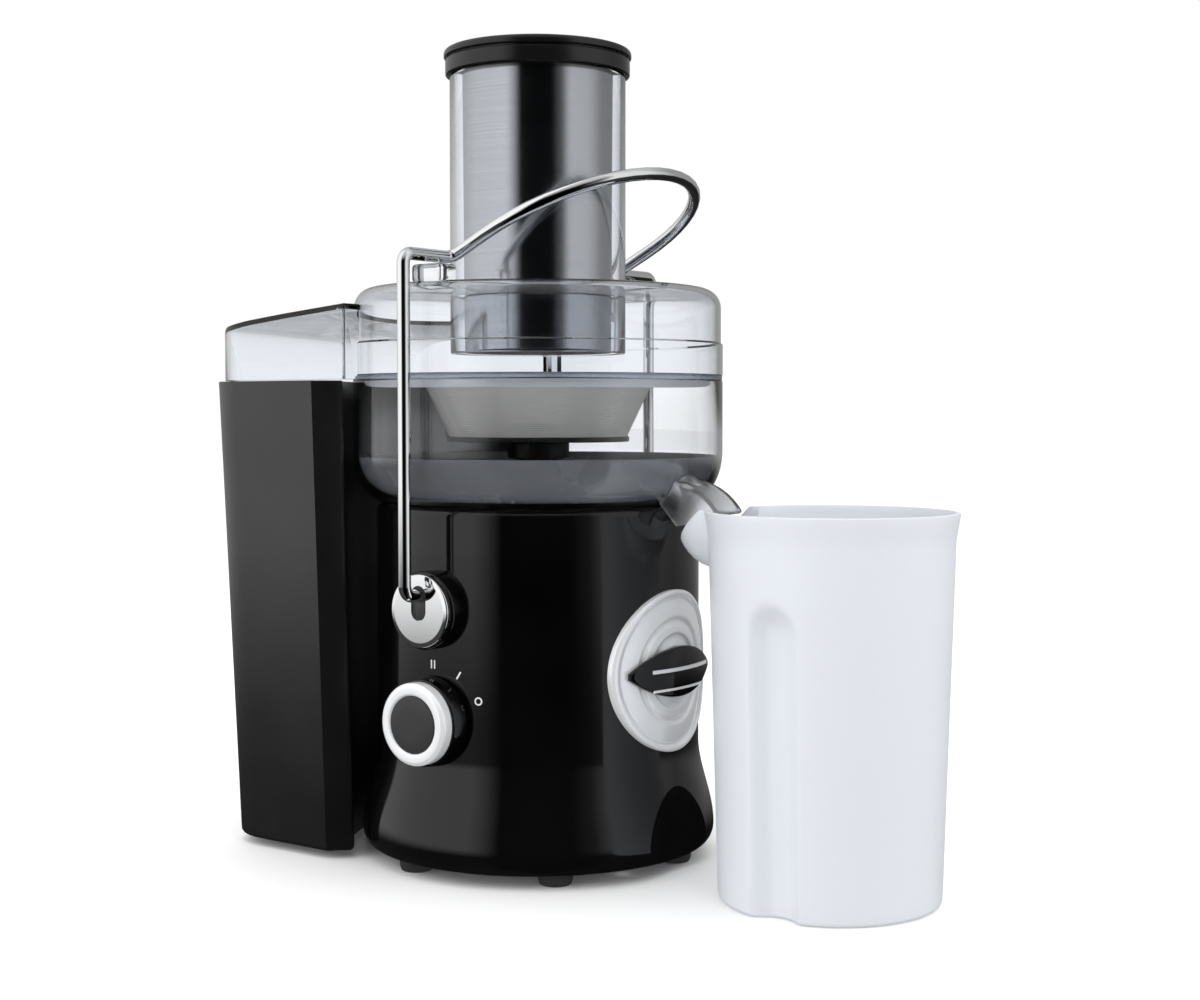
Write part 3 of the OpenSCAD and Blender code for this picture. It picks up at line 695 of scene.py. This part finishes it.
def make_dial():
    facing = {"centre": (0, 0, DIAL_Z), "up": FRONT}
    turned_part("dial_grip",
                [(0, 62, 0), (4, 62, 0.4), (4, 83.8, 0.3), (22, 83.8, 0.4), (21, 92.3, 0.8),
                 (19, 92.3, 0), (19, 98, 0.3), (0, 98, 0)],
                ("dial", "gloss", "housing_gloss", "dial_body"), closed=False, **facing)
    turned_part("dial_silver_ring",
                [(19, 92.4, 0), (20, 92.4, 0.2), (20, 97.6, 1.3), (18.2, 99, 1.2), (14.9, 98.95, 0.8),
                 (14, 98.1, 0.3), (14, 98.02, 0), (19, 98.02, 0)],
                ("dial", "silver", "silver_trim", "dial_ring"), **facing)
    turned_part("dial_face_cap",
                [(0, 98.02, 0), (13.9, 98.02, 0), (13.9, 98.6, 0.5), (9, 98.95, 12), (0, 99.1, 0)],
                ("dial", "inner_black", "black_plastic", "dial_cap"), closed=False, angle=40, steps=96,
                **facing)


def make_marks():
    """Printed marks beside the dial: two strokes, one stroke and a ring for off."""
    at_radius, tall, proud = 27.5, 4.2, 0.12

    def spot(degrees):
        """The place of a mark on the wall, by its angle round the dial, and the wall's turn there."""
        a = math.radians(degrees)
        x, z = at_radius * math.sin(a), DIAL_Z + at_radius * math.cos(a)
        return (x, -math.sqrt(WALL_R ** 2 - x ** 2), z), math.asin(x / WALL_R)

    marks = []
    for sideways, wide, degrees in ((-1.0, 0.7, 0), (1.0, 0.7, 0), (0, 0.8, 33)):
        half = wide / 2
        mark = block("mark", (sideways - half, -1, -tall / 2), (sideways + half, proud, tall / 2))
        at, slope = spot(degrees)
        lean = Matrix.Rotation(math.radians(degrees), 4, REAR)
        face = Matrix.Rotation(slope, 4, UP)
        mark.data.transform(Matrix.Translation(-AXIS))
        mark.data.transform(Matrix.Translation(place(*at)) @ face @ lean @ Matrix.Scale(-1, 4, REAR))
        mark.data.flip_normals()
        marks.append(mark)
    at, slope = spot(66)
    ring_line = eased([(1.3, -0.6, 0), (2.0, -0.6, 0), (2.0, proud, 0), (1.3, proud, 0)])
    marks.append(turned("mark_off", ring_line, at, (math.sin(slope), -math.cos(slope), 0), UP, 40))
    hand_over(joined("dial_marks", marks), "base", "print", "silver_trim")


def wrap_on_wall(piece):
    """Bends a piece that lies flat beside the wall round it, so that it stays as far off the wall."""
    for vertex in piece.data.vertices:
        point = (vertex.co - AXIS) / MM
        vertex.co = place(math.sqrt(point.x ** 2 - point.y ** 2), point.y, point.z)
    return piece


def sliced(piece, cuts):
    """Cuts a piece's faces at places along Y, so that it can bend."""
    edit_all(piece)
    for y in cuts:
        bpy.ops.mesh.select_all(action="SELECT")
        bpy.ops.mesh.bisect(plane_co=place(0, y, 0), plane_no=REAR)
    put_down()
    return piece


def lens(wide, tall, at_x, steps=24):
    """Outline between two arcs that meet in blunt tips, seen from the jug's side."""
    radius = (wide * wide / 4 + tall * tall / 4) / tall
    reach = math.degrees(math.asin(wide / 2 / radius)) * 0.93
    upper = arc(0, tall / 2 - radius, radius, 90 + reach, 90 - reach, steps)
    line = upper + [(y, -z) for y, z in reversed(upper)]
    return [(at_x, y, EMBLEM_Z + z) for y, z in line]


def make_emblem():
    steps_line = [(0, 83.02, 0), (40, 83.02, 0), (40, 85.3, 0.7), (39.2, 86, 0.4), (37.6, 86, 0.5),
                  (36.8, 84.2, 0.3), (35.8, 84.2, 0.3), (35.2, 84.9, 0.4), (26.5, 85.7, 2),
                  (25.2, 84.5, 0.5), (24, 84.5, 0.5), (22.6, 85.5, 0.8), (19, 85.7, 0.8),
                  (17.6, 84.6, 0.5), (16, 84.6, 0.8), (13, 85.6, 3), (0, 85.9, 0)]
    outline = eased(steps_line, closed=False, steps=4)
    disc = turned("emblem_disc", outline, (0, 0, EMBLEM_Z), (1, 0, 0), UP, 160)
    edit_all(disc)
    bpy.ops.mesh.subdivide(number_cuts=1)
    put_down()
    hand_over(smooth(wrap_on_wall(disc), 40), "base", "silver", "silver_trim", "emblem_plate")

    badge = plate("emblem_lens", lens(71, 25, 86.02), (3.6, 0, 0))
    soften(badge, 1.5, 5, 60)
    wrap_on_wall(sliced(badge, range(-34, 35, 4)))
    hand_over(smooth(badge, 40), "base", "gloss", "housing_gloss", "emblem_badge")

    bars = []
    for y0, y1, z0, z1 in ((-22, 28, 0.6, 2.4), (-21, 20, -8.6, -7.4)):
        bars.append(block("bar", (89, y0, EMBLEM_Z + z0), (89.9, y1, EMBLEM_Z + z1)))
    trim = wrap_on_wall(sliced(joined("emblem_trim_bars", bars), range(-20, 28, 4)))
    hand_over(smooth(trim), "base", "silver", "silver_trim")


def make_gland():
    turned_part("rubber_cord_gland",
                [(3.3, 78, 0), (7, 78, 0.4), (7, 91.4, 0.3), (10, 91.4, 0.5), (10, 94.4, 1.2),
                 (6.4, 96.4, 0.8), (3.3, 96.4, 0.5)],
                ("base", "rubber", "rubber", "cord_gland"), centre=(0, 0, GLAND_Z), up=REAR, steps=64)


# ---------- bowl, spout, seal and lid ----------

def bowl_wall(inset):
    """Curve of the bowl's side from its bottom up to where it is straight."""
    inwards, downwards = 17.5, 26
    line = []
    for i in range(17):
        a = math.radians(90 * i / 16)
        line.append((BOWL_R - inwards * (1 - math.sin(a)) - inset,
                     BEND_Z - (downwards - inset) * math.cos(a)))
    return line


def bowl_tool():
    """The room that the bowl takes up."""
    return turned("bowl_tool", [(0, DECK - 0.1)] + bowl_wall(0) + [(BOWL_R, BOWL_TOP), (0, BOWL_TOP)])


def make_bowl():
    floor, inner_r = DECK + CLEAR_WALL, BOWL_R - CLEAR_WALL
    rim = eased([(BOWL_R, 215, 0), (BOWL_R, BOWL_TOP, 0.6), (inner_r, BOWL_TOP, 0.6),
                 (inner_r, 215, 0)], closed=False)
    inside = eased([(70, floor, 0), (62, floor, 0.8), (62, 201, 0.7), (60, 201, 0.7),
                    (60, floor, 0.8), (19, floor, 1.2), (19, 197, 0.7), (16.5, 197, 0.7),
                    (16.5, DECK, 0.4), (60, DECK, 0)], closed=False)
    outline = bowl_wall(0) + rim + bowl_wall(CLEAR_WALL)[::-1] + inside
    bowl = turned("smoke_bowl", outline + outline[:1], steps=160)
    combine(bowl, spout_tool(SPOUT_BORE_R), block("juice_gap", (55, -4, floor + 0.2), (65, 4, 210)))
    hand_over(smooth(bowl), "base", "smoke", "smoke_plastic", "bowl")

    outer, inner = [[p for p in bowl_wall(CLEAR_WALL + inset) if p[1] < 205] for inset in (0.05, 1.05)]
    liner = turned("grey_juice_channel", outer + inner[::-1] + outer[:1], steps=160)
    combine(liner, spout_tool(SPOUT_BORE_R))
    hand_over(smooth(liner), "base", "channel", "smoke_plastic")


def make_spout():
    """A pipe under a curved cover with two cheeks."""
    pipe_line = eased([(SPOUT_BORE_R, -4, 0), (SPOUT_R, -4, 0), (SPOUT_R, 21, 1.0),
                       (SPOUT_BORE_R, 21, 0.9)])
    pipe = turned("pipe", pipe_line, SPOUT_AT, SPOUT_WAY, REAR, 96)
    cover_line = arc(89, 160, 34, 100, 34, 24) + arc(89, 160, 31.4, 34, 100, 24)
    cover = plate("cover", [(x, -SPOUT_R, z) for x, z in cover_line], (0, 2 * SPOUT_R, 0))
    soften(cover, 0.8, 3, 50)
    side = arc(89, 160, 33, 95, 38, 16) + [(105, 174), (93, 172), (80, 186)]
    cheeks = [plate("cheek", [(x, y, z) for x, z in side], (0, 2, 0)) for y in (-SPOUT_R, SPOUT_R - 2)]
    combine(cover, *cheeks, pipe, how="UNION")
    combine(cover, rod_tool(SPOUT_BORE_R, -8, 22, SPOUT_AT, SPOUT_WAY, REAR, 96), bowl_tool())
    name_it("clear_juice_spout", cover)
    hand_over(smooth(cover), "base", "spout", "clear_plastic", "juice_spout")


def make_seal():
    gap, inner_r, outer_r = 0.02, BOWL_R - 5, BOWL_R - 0.3
    turned_part("slate_lid_seal",
                [(inner_r, BOWL_TOP + gap, 0.5), (outer_r, BOWL_TOP + gap, 0.6),
                 (outer_r, LID_LOW - gap, 0.6), (inner_r, LID_LOW - gap, 0.5)],
                ("base", "seal", "seal_rubber", "lid_seal"), steps=160)


def lid_tool(inset):
    """The lid's round part as a solid, to an inset."""
    top, corner = LID_TOP - inset, 10
    low_z = LID_LOW - (1.5 if inset else 0)
    outline = [(0, top)] + arc(BOWL_R - 1 - corner, top - corner + inset, corner - inset, 90, 0, 12)
    outline += [(BOWL_R - 1 - inset, 262.4), (BOWL_R - inset, 261.4), (BOWL_R - inset, low_z),
                (0, low_z)]
    return turned("lid_tool", outline, steps=160)


def chute_tool(inset):
    """The chute over the pulp container: an outline seen from above, cut to the side's curve."""
    low_z = LID_LOW - 2.6 - (2 if inset else 0)
    far, half, near, corner = BIN_FAR - 3 - inset, BIN_HALF - 3 - inset, 52 + inset, 28 - inset
    seen_above = eased([(-near, -half, 0), (-far, -half, corner), (-far, half, corner),
                        (-near, half, 0)], steps=14)[:-1]
    prism = plate("chute_tool", [(x, y, low_z) for x, y in seen_above], (0, 0, 60))
    side = [(-BIN_FAR - 5, low_z - 1), (-BIN_FAR - 5, 252)]
    side += arc(-BIN_FAR + 23, 252, 20 - inset, 180, 106, 10)
    side += [(-120, 274.2 - inset), (-94, 277 - inset), (-40, 282 - inset), (-40, low_z - 1)]
    profile = plate("chute_side", [(x, -BIN_HALF - 4, z) for x, z in side], (0, 2 * BIN_HALF + 8, 0))
    combine(prism, profile, how="INTERSECT")
    return soften(prism, 6 - inset, 5, 48)


def make_lid():
    tube_low, catch_y = LID_TOP - 33, 81
    lid = lid_tool(0)
    combine(lid, chute_tool(0), how="UNION")
    combine(lid, lid_tool(CLEAR_WALL), chute_tool(CLEAR_WALL))
    tube_line = eased([(TUBE_R, tube_low, 0.8), (TUBE_R, TUBE_TOP, 0.9), (TUBE_R - 3, TUBE_TOP, 0.9),
                       (TUBE_R - 3, tube_low, 0.8)])
    combine(lid, rod_tool(TUBE_R - 0.5, LID_TOP - 20, LID_TOP + 9, steps=160))
    combine(lid, turned("feed_tube", tube_line, steps=160), how="UNION")
    catches = []
    for y in (-catch_y, catch_y):
        catches.append(block("catch", (-9, y - 7, LID_TOP - 1), (9, y + 7, LID_TOP + 8), 2.0))
    combine(lid, *catches, how="UNION")
    combine(lid, rod_tool(BOWL_R + 0.2, LID_LOW - 12, LID_LOW, steps=160))
    name_it("clear_lid", lid)
    hand_over(smooth(lid), "base", "clear", "clear_plastic", "lid")


# ---------- basket ----------

def make_basket():
    floor_z, rim_z = low("basket_floor").z, BOWL_TOP - 3
    disc_z, skirt_z = floor_z + 2.6, rim_z - 1.5
    turned_part("sieve_cone", [(46, disc_z, 0), (61.5, rim_z, 0), (60.7, rim_z, 0), (45.2, disc_z, 0)],
                ("spinner", "sieve", "mesh_steel", "mesh_basket"), steps=160)
    turned_part("basket_rim_steel",
                [(60.4, rim_z, 0.2), (88, rim_z, 0.5), (88.6, skirt_z, 0.2), (89.4, skirt_z, 0.2),
                 (89.4, BOWL_TOP, 0.8), (60.4, BOWL_TOP, 0.4)],
                ("spinner", "rim_steel", "brushed_steel", "basket_rim"), steps=160)
    turned_part("basket_floor_plate",
                [(9, floor_z, 0), (47, floor_z, 0.6), (47, floor_z + 2.5, 0.6), (9, floor_z + 2.5, 0)],
                ("spinner", "inner_black", "black_plastic", "basket_floor"))
    turned_part("basket_hub_cap",
                [(0, 207, 0), (13, 207, 0), (13, 203, 0.4), (16, 203, 0.6), (16, 212, 0.4), (9, 212, 0),
                 (9, 216.2, 0), (22, 216.2, 0.5), (20, 219.2, 1.2), (0, 219.2, 0)],
                ("spinner", "inner_black", "black_plastic", "basket_hub"), closed=False, steps=96)
    make_shredder(disc_z)


def make_shredder(disc_z):
    """The cutting disc and its teeth, in eight rows that curve outwards."""
    line = eased([(9, disc_z, 0), (43, disc_z, 0.3), (43, disc_z + 1.4, 0.4), (9, disc_z + 1.4, 0.2)])
    disc = turned("disc", line)
    teeth = []
    tooth = block("tooth", (0, 0, disc_z + 1.2), (2.4, 0.9, disc_z + 3.3))
    for vertex in tooth.data.vertices:
        point = (vertex.co - AXIS) / MM
        if point.z > disc_z + 2:
            vertex.co = place(1.2 + (point.x - 1.2) * 0.25, 0.1 + point.y * 0.2, point.z)
    for row in range(8):
        for k in range(6):
            lean = turn_about((0, 0, 0), UP, 45 * row + 6 * k)
            out = Matrix.Translation(Vector((24 + 3.2 * k, 0, 0)) * MM)
            teeth.append(copied(tooth, f"tooth_{row}_{k}", lean @ out @ turn_about((0, 0, 0), UP, 25)))
    bpy.data.objects.remove(tooth)
    shredder = joined("shredder_with_teeth", [disc] + teeth)
    hand_over(smooth(shredder), "spinner", "cutter_steel", "brushed_steel", "shredder_disc")


# ---------- pusher ----------

def make_pusher():
    cap_low, cap_top = low("pusher_cap").z, high("pusher_cap").z
    low_z, top_z = low("pusher_sleeve").z, high("pusher_sleeve").z
    base_z = low("pusher_core").z
    outer_r = high("pusher_sleeve").y
    inner_r, core_r = outer_r - 0.8, outer_r - 0.85
    turned_part("pusher_cap_black",
                [(0, cap_low + 5, 0), (outer_r, cap_low + 5, 0), (outer_r, cap_low, 0.3),
                 (47.2, cap_low, 0.8), (47.2, cap_low + 8, 0.7), (45.6, cap_low + 8, 0.2),
                 (45.6, cap_low + 9, 0.2), (48, cap_low + 9, 0.5), (48, cap_top, 2.2), (42, cap_top, 1),
                 (41, cap_top - 0.8, 1), (0, cap_top - 0.8, 0)],
                ("pusher", "cap", "black_plastic", "pusher_cap"), closed=False, steps=160)
    turned_part("steel_pusher_sleeve",
                [(outer_r, low_z, 0.2), (outer_r, top_z, 0), (inner_r, top_z, 0), (inner_r, low_z, 0)],
                ("pusher", "steel", "brushed_steel", "pusher_sleeve"), steps=192)
    turned_part("pusher_core_black",
                [(0, base_z, 0), (outer_r, base_z, 0.7), (outer_r, base_z + 1.5, 0),
                 (core_r, base_z + 1.5, 0), (core_r, top_z, 0), (35, top_z, 0), (35, base_z + 4.5, 1),
                 (0, base_z + 4.5, 0)],
                ("pusher", "inner_black", "black_plastic", "pusher_core"), closed=False)


# ---------- pulp container ----------

def container_solid(inset, bottom, top):
    """A solid that fills the container to an inset and grows from the small bottom to the rim."""
    taper, hollow_r, corner = 0.92, 101 + inset, 30 - inset
    half, far = BIN_HALF - inset, BIN_FAR - inset
    near = 61 + 0.7 * inset
    near_y = math.sqrt(hollow_r ** 2 - near ** 2)
    reach = math.degrees(math.asin(near_y / hollow_r))
    slant_x = BIN_NEAR + 13 + 1.5 * inset
    ends = eased([(-near, -near_y, 0), (-slant_x, -half, 0), (-far, -half, corner),
                  (-far, half, corner), (-slant_x, half, 0), (-near, near_y, 0)],
                 closed=False, steps=12)
    seen_above = ends + [Vector(p) for p in arc(0, 0, hollow_r, 180 - reach, 180 + reach, 40)[1:]]

    def share(height):
        return taper + (1 - taper) * (height - BIN_LOW) / (BOWL_TOP - BIN_LOW)

    small = share(bottom)
    foot = [place(-BIN_NEAR + (p.x + BIN_NEAR) * small, p.y * small, bottom) for p in seen_above]
    solid = drawn("container_solid", foot)
    bpy.ops.mesh.remove_doubles(threshold=0.002 * MM)
    bpy.ops.mesh.edge_face_add()
    bpy.ops.mesh.extrude_region_move(TRANSFORM_OT_translate={"value": (0, 0, (top - bottom) * MM)})
    growth = share(top) / small
    bpy.ops.transform.resize(value=(growth, growth, 1), center_override=place(-BIN_NEAR, 0, top))
    close_up(0.001)
    put_down()
    return soften(solid, 2.5 - inset / 2, 4, 50)


def choose(piece, test):
    """Starts editing a piece with the points selected that pass a test, each given in millimetres."""
    pick_up(piece)
    bpy.ops.object.mode_set(mode="EDIT")
    bpy.ops.mesh.select_mode(type="VERT")
    bpy.ops.mesh.select_all(action="DESELECT")
    bpy.ops.object.mode_set(mode="OBJECT")
    for vertex in piece.data.vertices:
        vertex.select = test((vertex.co - AXIS) / MM)
    bpy.ops.object.mode_set(mode="EDIT")


def make_container():
    shell = container_solid(0, BIN_LOW, BOWL_TOP + 5)
    above = block("above", (-BIN_FAR - 20, -BIN_HALF - 20, BOWL_TOP), (0, BIN_HALF + 20, BOWL_TOP + 20))
    combine(shell, container_solid(CLEAR_WALL, BIN_LOW + 3, BOWL_TOP + 10), above)
    name_it("matt_pulp_container", soften(shell, 0.7, 3, 70))
    hand_over(smooth(shell, 35), "container", "container", "container_plastic", "pulp_container")


# ---------- juice jug ----------

def jug_radius(height):
    """Radius of the jug's wall, which opens a little and then flares at the rim."""
    flare = 12
    if height < JUG_H - flare:
        return 52 + 5 * height / (JUG_H - flare)
    return 57 + 2 * (height - JUG_H + flare) / flare


def jug_wall(angle, height, radius):
    """Radius of the jug's wall with its two finger grips and the lip, by angle from +X and height."""
    grip_r, grip_top, blend_by = 17, 128, 6
    grip_at = min(jug_radius(height), jug_radius(grip_top)) + 10
    for side in (math.pi / 2, -math.pi / 2):
        off = math.remainder(angle - side, math.tau)
        ball = grip_r ** 2 - max(0, height - grip_top) ** 2
        inside = ball - (grip_at * math.sin(off)) ** 2
        if abs(off) > math.pi / 3 or ball <= 0 or inside <= 0:
            continue
        hollow = grip_at * math.cos(off) - math.sqrt(inside)
        if hollow < radius:
            ease = min(1, max(0, (radius - hollow + blend_by) / (2 * blend_by)))
            radius = radius - (radius - hollow) * ease
    lip_at, lip_r, lip_z = 57, 24, JUG_H - 6
    off = math.remainder(angle - math.pi, math.tau)
    ball = lip_r ** 2 - (height - lip_z) ** 2
    inside = ball - (lip_at * math.sin(off)) ** 2
    if abs(off) < math.pi / 4 and ball > 0 and inside > 0:
        radius = max(radius, lip_at * math.cos(off) + math.sqrt(inside))
    return radius


def make_jug():
    """A single wall turned, pushed into its grips and lip, sloped at the lip and given a thickness."""
    rings = [(radius, 0) for radius in (0, 12, 24, 36, 44)]
    rings += arc(49, 3, 3, -90, 0, 6)
    rings += [(jug_radius(z), z) for z in (3 + (JUG_H - 3) * i / 60 for i in range(1, 61))]
    jug = turned("frosted_jug", rings, (JUG_X, 0, 0), steps=256)
    centre = place(JUG_X, 0, 0)
    for vertex in jug.data.vertices:
        point = (vertex.co - centre) / MM
        if math.hypot(point.x, point.y) < 30:
            continue
        plain = jug_radius(point.z)
        shrink = jug_wall(math.atan2(point.y, point.x), point.z, plain) / plain
        vertex.co = centre + Vector((point.x * shrink, point.y * shrink, point.z)) * MM
    choose(jug, lambda point: point.x < JUG_X - 46 and point.z > 140)
    slope = math.radians(42)
    steep = (-math.sin(slope), 0, math.cos(slope))
    bpy.ops.mesh.bisect(plane_co=place(JUG_X - 58, 0, JUG_H), plane_no=steep, clear_outer=True)
    bpy.ops.mesh.select_all(action="SELECT")
    bpy.ops.mesh.normals_make_consistent(inside=False)
    pick_up(jug)
    wall = jug.modifiers.new("wall", "SOLIDIFY")
    wall.thickness = 2.2 * MM
    wall.offset = -1
    bpy.ops.object.modifier_apply(modifier=wall.name)
    soften(jug, 0.5, 2, 70)
    hand_over(smooth(jug, 40), "jug", "frosted", "frosted_plastic", "juice_jug")


# ---------- CAD nodes that keep their shape ----------

CAD_FINISHES = {
    "inner_black": "base_plate rotary_switch interlock_switch cooling_fan drive_coupling interlock_cam",
    "zinc": "base_screws motor_screws interlock_plunger",
    "rubber": "motor_mounts shaft_seal",
    "alloy": "upper_bracket lower_bracket",
    "laminations": "field_stack armature_core",
    "copper": "field_coils armature_coils",
    "steel": "upper_bearing lower_bearing motor_shaft",
    "brass": "brush_holders commutator",
    "carbon": "carbon_brushes",
}


def finish_cad_nodes():
    for look, names in CAD_FINISHES.items():
        for name in names.split():
            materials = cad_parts[name].data.materials
            materials.clear()
            materials.append(FINISHES[look])


# ---------- stage ----------

def aim(thing, target):
    direction = Vector(target) - thing.location
    thing.rotation_euler = direction.to_track_quat("-Z", "Y").to_euler()


CAMERA_AT = place(587.7, -755.2, 228.2)
CAMERA_AZIMUTH = math.radians(35.98)
CAMERA_PITCH = math.radians(2.785)
LENS_MM = 55.5

SKY_LIGHT = 1.45
# What the juicer mirrors: degrees to the right of the camera, as the juicer sees it, and radiance.
WALL_LIGHT = [(-180, 0.42), (-150, 0.5), (-105, 0.9), (-45, 1.0), (-35, 0.6), (-24, 0.003), (24, 0.003),
              (38, 0.15), (50, 0.75), (82, 0.7), (112, 0.3), (150, 0.28), (180, 0.42)]


def make_camera():
    put_down()
    bpy.ops.object.camera_add(location=CAMERA_AT)
    camera = bpy.context.object
    camera.name = "camera"
    camera.rotation_euler = (math.pi / 2 - CAMERA_PITCH, 0, CAMERA_AZIMUTH)
    camera.data.lens = LENS_MM
    camera.data.sensor_width = 36
    camera.data.clip_start = 0.01
    bpy.context.scene.camera = camera


def softbox(name, turn, distance, height, wide, tall, radiance):
    """A soft light at an angle to the right of the camera's direction, seen from the juicer."""
    a = CAMERA_AZIMUTH + math.radians(turn)
    spot = AXIS + Vector((math.sin(a) * distance, -math.cos(a) * distance, height))
    bpy.ops.object.light_add(type="AREA", location=spot)
    light = bpy.context.object
    light.name = name
    light.data.shape = "RECTANGLE"
    light.data.size = wide
    light.data.size_y = tall
    light.data.energy = radiance * wide * tall * math.pi
    light.visible_camera = False
    light.visible_transmission = False
    light.visible_glossy = False
    aim(light, AXIS + Vector((0, 0, height)))
    return light


def make_world():
    """White behind the juicer, bright walls left and right in what it mirrors, sky for soft light."""
    world = bpy.data.worlds.new("studio")
    bpy.context.scene.world = world
    world.use_nodes = True
    tree = world.node_tree

    def calc(operation, first, second):
        return math_node(tree, operation, first, second)

    path = add_node(tree, "LightPath").outputs
    reflected = calc("MINIMUM", path["Glossy Depth"], 1.0)
    scattered = calc("MINIMUM", path["Diffuse Depth"], 1.0)
    split = add_node(tree, "SeparateXYZ")
    feed(tree, split.inputs[0], add_node(tree, "TexCoord").outputs["Generated"])
    x, y, z = split.outputs
    from_camera = calc("ADD", calc("ARCTAN2", y, x), math.pi / 2 - CAMERA_AZIMUTH + math.tau)
    around = math_node(tree, "FRACT", calc("ADD", calc("DIVIDE", from_camera, math.tau), 0.5))
    walls = add_node(tree, "ValToRGB")
    stops = walls.color_ramp.elements
    stops.remove(stops[1])
    for degrees, radiance in WALL_LIGHT:
        stop = stops.new(0.5 + degrees / 360) if degrees > WALL_LIGHT[0][0] else stops[0]
        stop.color = (radiance, radiance, radiance, 1)
    feed(tree, walls.inputs[0], around)

    ceiling = mapped(tree, z, 0.3, 0.9, 0.0, 0.55, "SMOOTHSTEP")
    above_floor = mapped(tree, z, -0.22, -0.05, 0.05, 1.0, "SMOOTHSTEP")
    mirrored = calc("MAXIMUM", ceiling, calc("MULTIPLY", walls.outputs[0], above_floor))
    sky = mapped(tree, z, -0.3, 0.5, 0.9, SKY_LIGHT, "SMOOTHSTEP")
    lit = blend(tree, scattered, mirrored, sky)
    seen_straight = calc("MULTIPLY", calc("SUBTRACT", 1.0, reflected), calc("SUBTRACT", 1.0, scattered))
    strength = blend(tree, seen_straight, lit, 1.0)
    feed_all(tree, tree.nodes["Background"], Color=(1, 1, 1, 1), Strength=strength)
    world.cycles.sampling_method = "NONE"


def blend(tree, share, first, second):
    """The first value at share 0 and the second at share 1."""
    node = add_node(tree, "Mix")
    for number, value in ((0, share), (2, first), (3, second)):
        feed(tree, node.inputs[number], value)
    return node.outputs[0]


def make_stage():
    """A pale floor that mirrors don't see, three softboxes and the world."""
    put_down()
    bpy.ops.mesh.primitive_plane_add(size=14, location=(0, 0, 0))
    floor = name_it("pale_floor")
    material, tree, shader = finish("pale_floor", (0.9, 0.9, 0.9), 0.6)
    floor.data.materials.append(material)
    unseen = add_node(tree, "BsdfTransparent")
    chooser = add_node(tree, "MixShader")
    mirrored = math_node(tree, "MINIMUM", add_node(tree, "LightPath").outputs["Glossy Depth"], 1.0)
    for socket, value in zip(chooser.inputs, (mirrored, shader.outputs[0], unseen.outputs[0])):
        feed(tree, socket, value)
    feed_all(tree, tree.nodes["Material Output"], Surface=chooser.outputs[0])
    floor.visible_diffuse = False

    softbox("softbox_left", -66, 1.5, 0.3, 2.0, 2.6, 0.9)
    softbox("softbox_right", 78, 1.5, 0.3, 2.1, 2.6, 0.5)
    top = softbox("softbox_top", 0, 0.0, 2.2, 2.2, 2.2, 0.6)
    top.rotation_euler = (0, 0, 0)

    make_world()

    scene = bpy.context.scene
    scene.view_settings.view_transform = "Standard"
    scene.cycles.max_bounces = 24
    scene.cycles.transmission_bounces = 24
    scene.cycles.transparent_max_bounces = 16
    scene.cycles.diffuse_bounces = 3
    scene.cycles.glossy_bounces = 6


for make in (make_camera, make_stage, make_housing, make_feet, make_pivots, make_bail, make_dial,
             make_marks, make_emblem, make_gland, make_bowl, make_spout, make_seal, make_lid,
             make_basket, make_pusher, make_container, make_jug, finish_cad_nodes):
    make()
